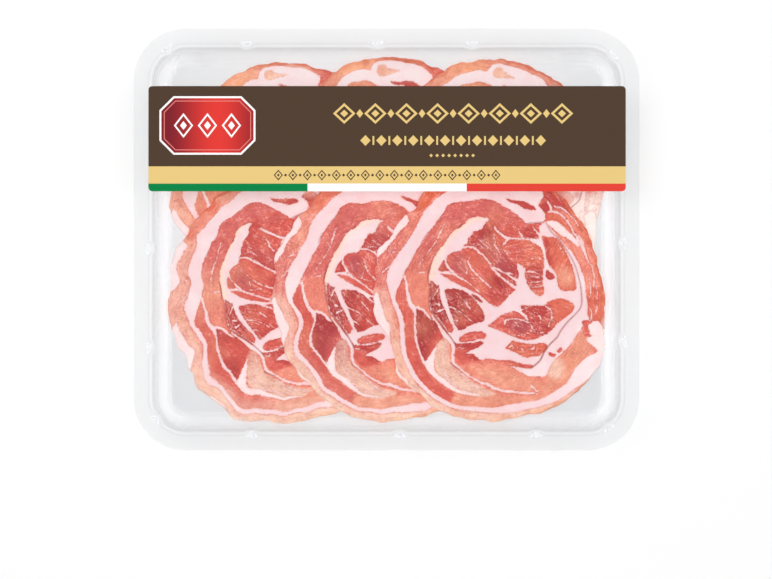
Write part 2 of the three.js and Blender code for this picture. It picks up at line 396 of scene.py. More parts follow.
class Chart:
    """Maps of one slice on a fine square grid, painted shape by shape."""

    def __init__(self, tone, marbling):
        ticks = np.arange(-CHART_REACH, CHART_REACH, CHART_CELL)
        self.u, self.v = np.meshgrid(ticks, ticks)
        self.maps = np.zeros((FAT.stop,) + self.u.shape)
        self.maps[EDGE] = -DEEPEST
        self.maps[MARBLING] = marbling
        self.maps[LEAN] = painted(tone, 2)
        self.maps[FAT] = painted("white", 2)
        self.maps[ALONG] = np.arctan2(self.v, self.u) * CHART_REACH
        self.maps[ACROSS] = np.hypot(self.u, self.v)

    def window(self, curve):
        """The part of the maps that a curve can change."""
        low = (curve[:, :2].min(axis=0) - WINDOW_MARGIN + CHART_REACH) / CHART_CELL
        high = (curve[:, :2].max(axis=0) + WINDOW_MARGIN + CHART_REACH) / CHART_CELL
        low, high = np.maximum(low, 0).astype(int), high.astype(int)
        return np.s_[low[1] : high[1], low[0] : high[0]]

    def inside(self, knots):
        """The window of a closed outline, and how deep its points lie inside the outline."""
        curve = curve_through(knots, True)
        window = self.window(curve)
        return window, depth_inside(self.u[window], self.v[window], curve)

    def beside(self, knots):
        """The window of an open course, how far points are from it, and its width there."""
        curve = curve_through(knots, False)
        window = self.window(curve)
        away, width = distance_to(self.u[window], self.v[window], curve, False)
        return window, away, width

    def colour(self, layer, window, tone, share):
        maps = self.maps[(layer,) + window]
        maps += (painted(tone, 2) - maps) * share

    def marble(self, window, marbling, share):
        marbled = self.maps[MARBLING][window]
        marbled += (marbling - marbled) * share

    def fat(self, tone, knots):
        window, depth = self.inside(knots)
        edge = self.maps[EDGE][window]
        np.copyto(edge, np.maximum(edge, np.minimum(depth, DEEPEST)))
        self.colour(FAT, window, tone, smooth(depth, *FAT_BLEND))

    def lean(self, tone, grain, marbling, knots):
        """A muscle; the grain is the run of its fibres, in degrees."""
        window, depth = self.inside(knots)
        edge = self.maps[EDGE][window]
        np.copyto(edge, np.minimum(edge, np.maximum(-depth, -DEEPEST)))
        share = smooth(depth, *LEAN_BLEND)
        self.colour(LEAN, window, tone, share)
        self.marble(window, marbling, share)
        u, v = self.u[window], self.v[window]
        turned = math.radians(grain)
        along = u * math.cos(turned) + v * math.sin(turned)
        across = v * math.cos(turned) - u * math.sin(turned)
        np.copyto(self.maps[ALONG][window], along, where=depth > GRAIN_FROM)
        np.copyto(self.maps[ACROSS][window], across, where=depth > GRAIN_FROM)

    def tint(self, tone, soft, marbling, knots):
        """Changes the colour of the lean, with a soft edge, and leaves the fat as it is."""
        window, depth = self.inside(knots)
        share = smooth(depth, -soft, soft)
        self.colour(LEAN, window, tone, share)
        self.marble(window, marbling, share)

    def tint_fat(self, tone, soft, knots):
        window, depth = self.inside(knots)
        self.colour(FAT, window, tone, smooth(depth, -soft, soft))

    def vein(self, knots):
        """A line of fat; each knot has its place and the line's width there."""
        window, away, width = self.beside(knots)
        edge = self.maps[EDGE][window]
        np.copyto(edge, np.maximum(edge, width / 2 - away))

    def dark_line(self, strength, knots):
        """A gap or a shaded fold; each knot has its place and the line's width there."""
        window, away, width = self.beside(knots)
        seam = self.maps[SEAM][window]
        dark = strength * (1 - smooth(away / (width + TINY), GAP_CORE, 1.0))
        np.copyto(seam, np.maximum(seam, dark))

    def sample(self, u, v):
        """The maps' values at points, blended between the cells."""
        last = self.u.shape[0] - 1 - TINY
        x = np.clip((u + CHART_REACH) / CHART_CELL, 0, last)
        y = np.clip((v + CHART_REACH) / CHART_CELL, 0, last)
        i, j = x.astype(int), y.astype(int)
        x, y = x - i, y - j
        low = self.maps[:, j, i] * (1 - x) + self.maps[:, j, i + 1] * x
        high = self.maps[:, j + 1, i] * (1 - x) + self.maps[:, j + 1, i + 1] * x
        return low * (1 - y) + high * y

    def fat_share(self):
        """How much of the chart is fat so far."""
        return round(float((self.maps[EDGE] > 0).mean()), 3)


print("tones:", ", ".join(TONES))

# %% [markdown]
# ## Drawing the roll
#
# The order is that of a painter: first the broad fields, then what lies on them. The rim and
# the belly's own lean come first, then the thick band of back fat that runs round almost the
# whole slice, then the layers inside it.

# %% The belly's lean and the rim
BELLY_MARBLING = 0.55

roll = Chart("salmon", BELLY_MARBLING)

# The rim is pale along the bottom, orange where the skin was at the top, and mottled at the left.
roll.tint("rim", 0.8, 0.35, [
    (-50, -24), (-44, -32), (-40, -39), (-33, -47.5), (-26, -53), (-18, -57), (-10, -58.5),
    (0, -59.3), (10, -59.3), (20, -57.8), (30, -55.3), (37, -52.3), (45, -47), (52, -41.5),
    (66, -34), (60, -60), (20, -69), (-30, -69), (-60, -50), (-68, -20),
])
roll.tint("rind", 1.2, 0.1, [
    (-20, 52), (-27, 49), (-32, 43), (-38, 42), (-44, 46), (-36, 58), (-20, 66), (4, 68), (30, 62),
    (40, 52), (52, 38), (44, 42), (34, 46), (27, 51), (23, 55), (16, 57.5), (6, 60), (0, 60),
    (-4, 57), (-14, 56.5), (-19, 54.5),
])
roll.tint("blush", 2.5, 0.3, [
    (-60, 3), (-52, 3), (-49, -6), (-46, -16), (-44, -26), (-50, -28), (-60, -14),
])
roll.tint("rosy", 2.0, 0.95, [(-60, 28), (-44, 34), (-44, 20), (-50, 6), (-62, 5)])
roll.tint("rim", 2.0, 0.2, [(-50, -24), (-43, -24), (-41, -34), (-37, -43), (-44, -48), (-50, -34)])
print("fat share of the bare chart:", roll.fat_share())

# %% The thick band of fat, from the upper right anticlockwise to the lower right and back
roll.fat("white", [
    (28, 50.5), (25, 54), (20, 56.8), (13, 59), (6, 60.3), (0, 59.3), (-2.5, 56), (-7, 56.8),
    (-13, 55.5), (-19, 53), (-25, 49.3), (-28.5, 46), (-33, 40.5), (-37.5, 32), (-41, 26.5),
    (-47, 18), (-50.3, 12), (-51, 6), (-49.5, 0), (-47.5, -6), (-45, -13), (-44.3, -22),
    (-43.5, -30), (-41, -36), (-38, -42), (-33, -47.5), (-26.5, -53), (-18, -57.2),
    (-10, -58.6), (0, -59.6), (10, -59.6), (20, -58), (30, -55.5), (37, -52.5), (45, -47),
    (51, -42.5), (58, -37), (64, -30), (66, -20), (60, -17), (54, -20), (50, -22.5), (53, -26),
    (55.5, -28.5), (50, -31.5), (47, -34), (44, -37.5), (42, -41), (40, -44.5), (35, -48),
    (30, -51), (25, -53.3), (15, -54.7), (5, -56.7), (-5, -56.7), (-12, -56.3), (-17, -55.2),
    (-22, -53), (-27, -50), (-31.5, -46), (-35, -42), (-38, -37), (-40.3, -32), (-41.7, -25),
    (-42.3, -15), (-43.5, -9), (-46, -4), (-46.4, 1), (-44, 6), (-42.5, 10), (-40.5, 14),
    (-37, 20.5), (-34, 25.5), (-31, 30), (-28, 34), (-25, 38), (-22.5, 41), (-20.5, 44.7),
    (-15, 46.7), (-10, 47), (-5, 48), (0, 48), (4, 46.7), (8, 44.5), (14, 40.7), (19.5, 36),
    (27, 36.3), (29, 39), (28, 42), (25.5, 45), (27, 48),
])
# The edge of fat at the upper left and along the lower left of the rim.
roll.fat("pale", [
    (-40, 38), (-42, 34), (-46, 30), (-48, 27), (-54, 20), (-60, 18), (-56, 34), (-46, 44),
])
roll.fat("pale", [
    (-56.5, 1), (-54, -4), (-52, -11), (-49.6, -15), (-49.3, -22), (-49, -27), (-47, -34),
    (-44, -40), (-40, -45), (-46, -52), (-58, -36), (-62, -14),
])
print("fat share so far:", roll.fat_share())

# %% The layers of lean between the band and the neck
roll.tint("arch", 1.5, 0.35, [
    (-41, 12), (-37, 22), (-31, 32), (-25, 40), (-21, 46), (-12, 50), (0, 50), (8, 46), (15, 41),
    (21, 36), (12, 36), (0, 37), (-6, 37.5), (-12, 34), (-19, 28), (-24, 21), (-27, 13), (-32, 11),
])
roll.tint("salmon", 1.0, 0.12, [
    (-42, 11), (-37, 11.3), (-31, 11), (-28, 6), (-28.5, -3), (-29, -8), (-30.5, -11), (-33, -8),
    (-37, -6), (-40, -1), (-41, 5),
])
roll.tint("coral", 1.5, 0.15, [
    (-45, 10), (-42, 8), (-41, 2), (-38, -6), (-37.2, -14), (-36.5, -22), (-34.5, -30),
    (-32, -36), (-28, -42), (-22, -47), (-14, -51), (-4, -53), (-4, -58), (-18, -57),
    (-30, -50), (-38, -41), (-43, -28), (-44, -12), (-48, -2),
])
roll.tint("deep", 0.8, 0.15, [
    (-36.5, -7), (-33.5, -8), (-30.5, -11), (-27, -13), (-24.5, -17), (-22.5, -22), (-24.5, -25),
    (-28, -28), (-31, -33), (-32.3, -34.5), (-34, -30), (-35.5, -24), (-36.6, -14),
])
roll.tint("coral", 3.0, 0.2, [(-24, -18), (-22, -24), (-28, -30), (-31, -34), (-29, -24)])
roll.tint("peach", 1.5, 0.1, [
    (-16, -50), (-6, -51), (6, -51), (18, -51), (26, -49), (34, -48), (26, -54), (12, -56),
    (-6, -58), (-18, -57),
])
roll.tint("straw", 0.7, 0.3, [
    (-26, -25.5), (-23, -22.5), (-20, -23), (-19, -29), (-18.5, -35), (-15, -38), (-10, -42),
    (-5, -45.5), (0, -48), (4, -50.5), (-6, -51.5), (-13, -49.5), (-19.5, -45), (-25, -41),
    (-27, -35), (-27, -30),
])
roll.fat("pale", [
    (-32, -35.5), (-30, -31.5), (-28, -28.5), (-25.7, -25.7), (-26.6, -30), (-27.2, -35),
    (-26.5, -38.5), (-24, -41), (-21, -43), (-18.5, -45.5), (-14, -48.3), (-8, -49.6), (-3, -51),
    (-12, -50.4), (-18, -48.3), (-24, -44.5), (-28.5, -40.5),
])
print("chart cells:", roll.u.shape, "fat share so far:", roll.fat_share())

# %% [markdown]
# ## The neck and the lower lean
#
# The neck is a mass of fat with muscles set in it, each with its own red and its own run of
# fibres. It is drawn the way a butcher would name it: the fat first, then muscle after muscle.

# %% The neck's fat and the cream crescent
roll.fat("white", [
    (2, 37.5), (-1, 38.6), (-5, 39.1), (-8.5, 38.6), (-10.5, 37.4), (-12.5, 35), (-17, 32.2),
    (-19.5, 29.6), (-22, 25.8), (-25.5, 21.5), (-27.5, 18), (-29, 13.5), (-30, 9.5), (-29.6, 6),
    (-29.3, 1), (-29.5, -4), (-29, -8), (-26, -11), (-23, -15), (-20.5, -19), (-18.7, -21.5),
    (-16.8, -24), (-14, -26), (-11.4, -28.6), (-10.6, -29.8), (-8, -29.9), (-6, -31),
    (-4.2, -32.6), (-1, -33), (2, -32.4), (7, -34.5), (12, -36.7), (17, -39.2), (20, -41),
    (25, -41.4), (29, -41), (31, -38), (32.5, -34.5), (37, -30), (42, -25), (44.5, -21),
    (47, -17.5), (49, -13), (49.6, -9), (49.6, -4), (49.3, 2), (48.5, 8), (47, 13), (44.5, 18),
    (42, 22), (39.8, 23.7), (37.5, 26.7), (35, 29.5), (33.5, 31.5), (31.5, 33.5), (30, 36),
    (28, 36.6), (22, 36.3), (15, 38), (8, 39),
])
roll.tint_fat("cream", 1.4, [
    (1, 38.4), (-5, 39.6), (-10, 38.7), (-13, 36), (-18, 33), (-22, 27), (-25.5, 22), (-28.5, 16),
    (-30, 12), (-30, 8), (-27.5, 8), (-26.5, 13), (-23.5, 20), (-19, 27.5), (-13, 33), (-6, 37),
])
print("fat share so far:", roll.fat_share())

# %% The upper and the right muscle: tone, run of the fibres, marbling, outline
roll.lean("coral", -15, 0.35, [
    (0, 37), (3, 38.8), (9, 39.8), (14, 39.6), (17.5, 37.8), (19.3, 35.9), (23, 35.9), (27, 36),
    (26, 34.3), (25.8, 32), (26.2, 30), (25.8, 28.2), (22, 28.4), (16, 28.2), (10, 28.3), (6, 30),
    (4, 32.5), (2.5, 35),
])
roll.tint("arch", 1.5, 0.5, [(0, 37), (4, 38.4), (12, 39.5), (17, 38), (14, 36), (6, 35.5)])
roll.tint("red", 1.5, 0.55, [
    (17, 33.5), (20, 34), (23, 32.5), (25.5, 29), (25, 27.5), (19, 28), (17.5, 30.5),
])
roll.lean("red", -52, 0.45, [
    (-1.5, 36.4), (0, 37), (2.5, 36.5), (4, 33.5), (6, 31), (9, 28.8), (9, 26), (8.5, 22),
    (11, 18.5), (14.5, 15.3), (14.8, 12.5), (15.4, 10.5), (15.2, 8.5), (14.3, 6), (13.8, 4.4),
    (11, 5.8), (8, 8), (5, 11), (2.2, 14), (0.3, 17), (-1.5, 19), (-4, 21.2), (-6, 22.8),
    (-9, 24.3), (-12.2, 24.6), (-11, 25.6), (-10.3, 27), (-9.8, 28.7), (-8, 30.2), (-7.5, 31.6),
    (-5.5, 32), (-3.5, 33), (-2, 34.8),
])
roll.tint("mauve", 3.0, 0.5, [(-4, 29), (2, 27), (6, 21), (12, 14), (8, 11), (1, 18), (-4, 24)])
roll.tint("deep", 2.0, 0.25, [(-3, 33), (1, 33.5), (3, 29), (0, 27), (-4, 29.5)])
roll.tint("coral", 2.0, 0.4, [(4, 31), (8, 28.5), (8, 25), (4, 26)])
roll.lean("orange", 8, 0.7, [
    (8.5, 28), (14, 28), (20, 27.8), (22, 26.6), (24.2, 25.4), (26.6, 23.8), (27.6, 22),
    (28.2, 18.5), (28.3, 15), (27.8, 12), (27.9, 9), (27.6, 6), (28.2, 3.5), (28.2, 1),
    (26.8, -0.6), (25, -0.6), (22.8, 1.2), (20.8, 3.5), (19.6, 6), (18.9, 8.5), (18.2, 10.3),
    (18.9, 12), (17.8, 13.8), (16, 15.3), (14.5, 15.6), (12, 17.5), (9.5, 20.5), (8, 24),
])
roll.tint("coral", 3.0, 0.6, [(9, 27), (16, 27), (18, 21), (15, 17), (9, 22)])
roll.tint("red", 3.0, 0.8, [(19, 13), (27, 14), (27, 4), (21, 3)])
print("fat share so far:", roll.fat_share())

# %% The muscles in the middle and at the right edge of the neck
roll.lean("coral", -42, 0.35, [
    (-21, 18.6), (-19.8, 20.2), (-17, 21.6), (-14.4, 21.9), (-12.8, 23.4), (-11.5, 24), (-9, 23.6),
    (-6, 22), (-3.8, 20), (-1.4, 18), (0.2, 15.8), (2.6, 12.8), (5, 10.3), (8.2, 7.2), (11, 5.2),
    (13.6, 3.2), (12.8, 1.6), (10.3, -0.6), (8, -3.2), (5.8, -5.6), (4.3, -6.2), (2.5, -5.4),
    (0, -3.8), (-2.2, -1.8), (-5, 0.6), (-8, 2.9), (-12, 5.2), (-15, 7.5), (-17, 9.2),
    (-19, 11.5), (-20.6, 14),
])
roll.tint("mauve", 3.0, 0.2, [(-19, 19), (-14, 21), (-11, 17), (-10, 11), (-15, 10), (-19, 14)])
roll.tint("red", 3.0, 0.3, [(-1, 9), (4, 9), (11, 3), (8, -3), (2, -4), (-1, 2)])
roll.tint("deep", 1.5, 0.2, [(3, 9), (6, 8), (9, 5), (7, 3), (4, 5)])
roll.lean("red", -35, 0.1, [
    (-25.1, 12.6), (-24, 15.3), (-23, 16.8), (-22.2, 17.6), (-21.9, 16), (-20.7, 14), (-19.3, 12.2),
    (-21, 11.8), (-24, 11.6),
])
roll.lean("coral", -30, 0.15, [
    (-24, 10.6), (-20, 10.3), (-17.5, 9.6), (-14, 8), (-10, 5.8), (-7, 3.3), (-5, 1.5),
    (-6.5, 0.8), (-9.5, 2.6), (-12, 3.8), (-15, 5.2), (-18, 6.5), (-20, 7.8), (-22, 9.2),
])
roll.lean("deep", -40, 0.1, [(-8.4, 0), (-6, -0.4), (-4, -2), (-3, -4), (-4.9, -3.5), (-6.9, -1.7)])
roll.lean("orange", 60, 0.3, [
    (27.4, 29.6), (30, 29), (33.3, 29), (35.7, 27.2), (37.9, 24.4), (39.3, 21.4), (41.4, 17),
    (43.2, 12), (44.3, 7), (44.6, 3.6), (43.4, 2.2), (40, 1.9), (37, 2.3), (35.6, 4), (35, 7),
    (34.3, 9.5), (33, 12), (31, 14.5), (29.8, 17), (29, 21), (28, 25),
])
roll.tint("red", 1.5, 0.2, [(28, 28), (31, 27), (31, 21), (33, 14), (30, 16), (29, 21)])
roll.tint("peach", 3.0, 0.2, [(36, 14), (42, 12), (43, 6), (38, 4), (35, 9)])
roll.lean("red", 0, 0.2, [
    (29.4, 12.6), (31, 11.6), (33, 10.4), (33.9, 8.6), (32, 7.4), (30, 8.1), (29.1, 10),
])
print("fat share so far:", roll.fat_share())

# %% The left and the lower muscles
roll.lean("deep", -40, 0.55, [
    (-21.7, 2.5), (-17, 3), (-12, 1.8), (-9, -0.5), (-6, -3.5), (-3.5, -7), (-2, -10), (-2.2, -13),
    (-5, -14), (-9, -15.5), (-12, -17.3), (-14.5, -18), (-16, -17), (-17.5, -13), (-19, -9),
    (-20.5, -4), (-21.5, 0),
])
roll.tint("red", 2.5, 0.3, [(-9, -2), (-4, -7), (-3, -12.5), (-12, -17), (-15, -13), (-11, -9)])
roll.lean("deep", -75, 0.9, [
    (-29, 6.8), (-26, 4.8), (-24.6, 4.6), (-24.3, 0), (-23, -5), (-21, -9), (-19, -13),
    (-17.5, -16.7), (-18.5, -19.2), (-20.6, -18), (-23, -14.5), (-26, -10.6), (-28.6, -8),
    (-29.2, -3),
])
roll.tint("coral", 1.5, 0.3, [(-22, -14), (-18.5, -13), (-16.5, -17), (-19, -20), (-21, -18)])
roll.lean("coral", 10, 0.5, [
    (-14.6, -22.6), (-13.4, -20.8), (-10.5, -19.3), (-8, -18.7), (-4, -18.6), (-1.6, -19.4),
    (-0.6, -20.8), (-2, -22.2), (-6, -23), (-10, -23.6), (-13, -24),
])
roll.lean("red", 20, 0.4, [
    (-16.2, -24.8), (-13, -24.6), (-8, -24.2), (-4, -23.2), (-2.4, -24.3), (-4.4, -26.2),
    (-8, -27.8), (-10.4, -29), (-11.8, -30.4), (-14, -29), (-15.6, -26.8),
])
roll.lean("coral", -20, 0.55, [
    (0, -15.6), (2.5, -14), (4.5, -11.8), (7, -10.2), (10, -9), (13, -8.3), (15.3, -9),
    (16.2, -8), (16.3, -6), (17, -5.3), (20, -5.4), (24, -5.5), (28, -5.7), (29, -4.6), (31, -3.2),
    (34, -2.1), (37, -2), (40, -2.8), (42.6, -4.4), (43.6, -6), (42.5, -8.6), (40, -10.8),
    (37, -13), (34.5, -15.3), (32.5, -17.5), (30, -19.8), (28, -20.3), (25.5, -21.8), (22, -22.8),
    (18, -22.8), (14, -21.6), (10, -20), (6, -18.2), (3, -17),
])
roll.tint("red", 2.0, 0.45, [(17, -5), (29, -5), (33, -9), (31, -19), (24, -20), (20, -12)])
roll.tint("orange", 2.0, 0.2, [(32, -2), (42, -3), (43, -8), (35, -13), (33, -8)])
roll.tint("mauve", 1.5, 0.5, [
    (10, -12.5), (20, -13), (21.5, -17), (18, -19.5), (12, -18), (9, -14),
])
roll.fat("white", [
    (13.6, -8), (16, -9.6), (18, -11.2), (20.4, -12.8), (18.9, -10.4), (17.2, -8.4), (16.4, -6.4),
    (15.4, -6.6),
])
roll.lean("orange", 10, 0.6, [
    (8.8, -26.8), (10.5, -25), (11.8, -23.4), (14, -23.3), (17, -24.3), (20, -24.8), (24, -24.9),
    (27, -24.3), (29, -24.6), (30, -26), (29.5, -27.8), (27.5, -29.5), (26, -30.8), (23, -31.2),
    (20, -31.8), (17, -31), (14, -29.2), (11, -28),
])
roll.lean("coral", -8, 0.7, [
    (-1.5, -32.4), (3, -32.8), (8, -33), (11, -33), (14, -34), (18, -35), (22, -35.5),
    (23.2, -36.1), (21, -37.3), (16, -36.7), (10, -35.8), (5, -35.4), (0, -34.4),
])
roll.lean("coral", 0, 0.2, [(30.5, -29.2), (34.3, -30), (33.5, -31.5), (31.3, -31)])
roll.lean("coral", 0, 0.2, [(35, -28.5), (36.8, -26.5), (37.5, -28), (36, -29.3)])
print("fat share so far:", roll.fat_share())

# %% The lean under the neck
roll.tint("salmon", 2.5, 0.22, [
    (-19, -26), (-10, -29), (0, -32), (12, -36), (20, -40), (28, -40), (33, -33), (42, -24),
    (47, -19), (56, -28), (48, -36), (42, -44), (34, -49), (24, -51), (12, -50), (0, -46),
    (-10, -41), (-18, -35),
])
roll.tint("peach", 3.0, 0.18, [
    (-8, -36), (4, -37), (14, -39), (22, -42.5), (28, -46), (22, -49), (8, -47), (-2, -43),
])
roll.tint("peach", 2.5, 0.22, [
    (44, -16), (50, -22), (52, -30), (44, -38), (38, -46), (28, -50), (29, -43), (33, -36),
    (40, -27),
])
roll.tint("rim", 1.5, 0.2, [(31, -41), (32, -33), (37, -33), (38, -37), (36, -42)])
roll.tint("coral", 1.2, 0.1, [(-17, -28), (-10, -29), (-4, -33), (-8, -34.5), (-15, -35)])
roll.tint("red", 0.8, 0.3, [(-12, -29), (-7, -29.6), (-4.5, -33), (-8, -33)])
print("fat share so far:", roll.fat_share())

# %% The lean along the right side, up to the top
roll.tint("orange", 1.5, 0.35, [
    (30, 50), (36, 45), (42, 38), (48, 29), (53, 18), (56, 8), (58, -4), (60, -14), (66, -8),
    (66, 14), (56, 36), (42, 52), (32, 58),
])
roll.tint("orange", 1.0, 0.3, [
    (49.5, 2), (49.5, -6), (50.5, -11), (52, -12.5), (55, -13), (57, -18), (60, -14), (60, 2),
])
roll.fat("white", [
    (48, 0), (50, -3), (50.4, -10), (52, -13.3), (55, -13.2), (57.4, -15), (58, -19), (54, -21),
    (51, -19.5), (50.5, -16), (49, -13), (48, -8),
])
roll.lean("coral", 0, 0.3, [
    (47.2, -13.9), (49, -12.9), (51.4, -13), (52.6, -13.9), (51.2, -15), (50.4, -16.2),
    (51.4, -18.2), (51.2, -20), (49.2, -20.2), (48.6, -18.6), (49, -16.4), (48.4, -15),
])
roll.tint("red", 2.0, 0.6, [(26, 50), (33, 53), (39, 48), (41, 42), (36, 42), (30, 44)])
roll.lean("orange", -50, 0.3, [
    (29.5, 41.3), (32, 41.5), (35, 40), (38, 38), (40.5, 35), (41.8, 32.3), (37, 36.3),
    (32.5, 37.6), (30, 36.3), (29, 38.5),
])
roll.fat("pale", [
    (29.5, 36.8), (32, 37.4), (35, 36.7), (37.5, 34.8), (40, 32.2), (43, 29.6), (46, 25.6),
    (46.2, 24), (44, 25.4), (41, 27.6), (38.5, 29.2), (36, 30.6), (34, 32.2), (32, 34),
    (30, 35.4),
])
roll.lean("red", -45, 0.1, [
    (30.5, 52), (33, 51.5), (35.3, 49.4), (37, 46.6), (36, 45.2), (34, 45.3), (32.3, 48),
])
roll.lean("red", -10, 0.1, [
    (8.5, 49), (11, 48.2), (14, 47.6), (18, 47), (21, 45.6), (23.7, 44), (24, 42.6), (20, 42.8),
    (17, 44), (14.5, 45.6), (10.5, 46.8),
])
roll.lean("red", 10, 0.2, [(25.5, 45), (28, 45.6), (30, 46), (31, 43.6), (30, 42), (28, 42.4)])
roll.lean("shell", -15, 0.1, [
    (1.5, 55), (2, 57.4), (4, 58.2), (6, 57.7), (7, 56), (9, 55.8), (8.6, 55), (11, 54.6),
    (13.6, 53.6), (11.5, 53), (8, 52.8), (4.5, 52.5), (2.4, 53.2),
])
print("fat share so far:", roll.fat_share())

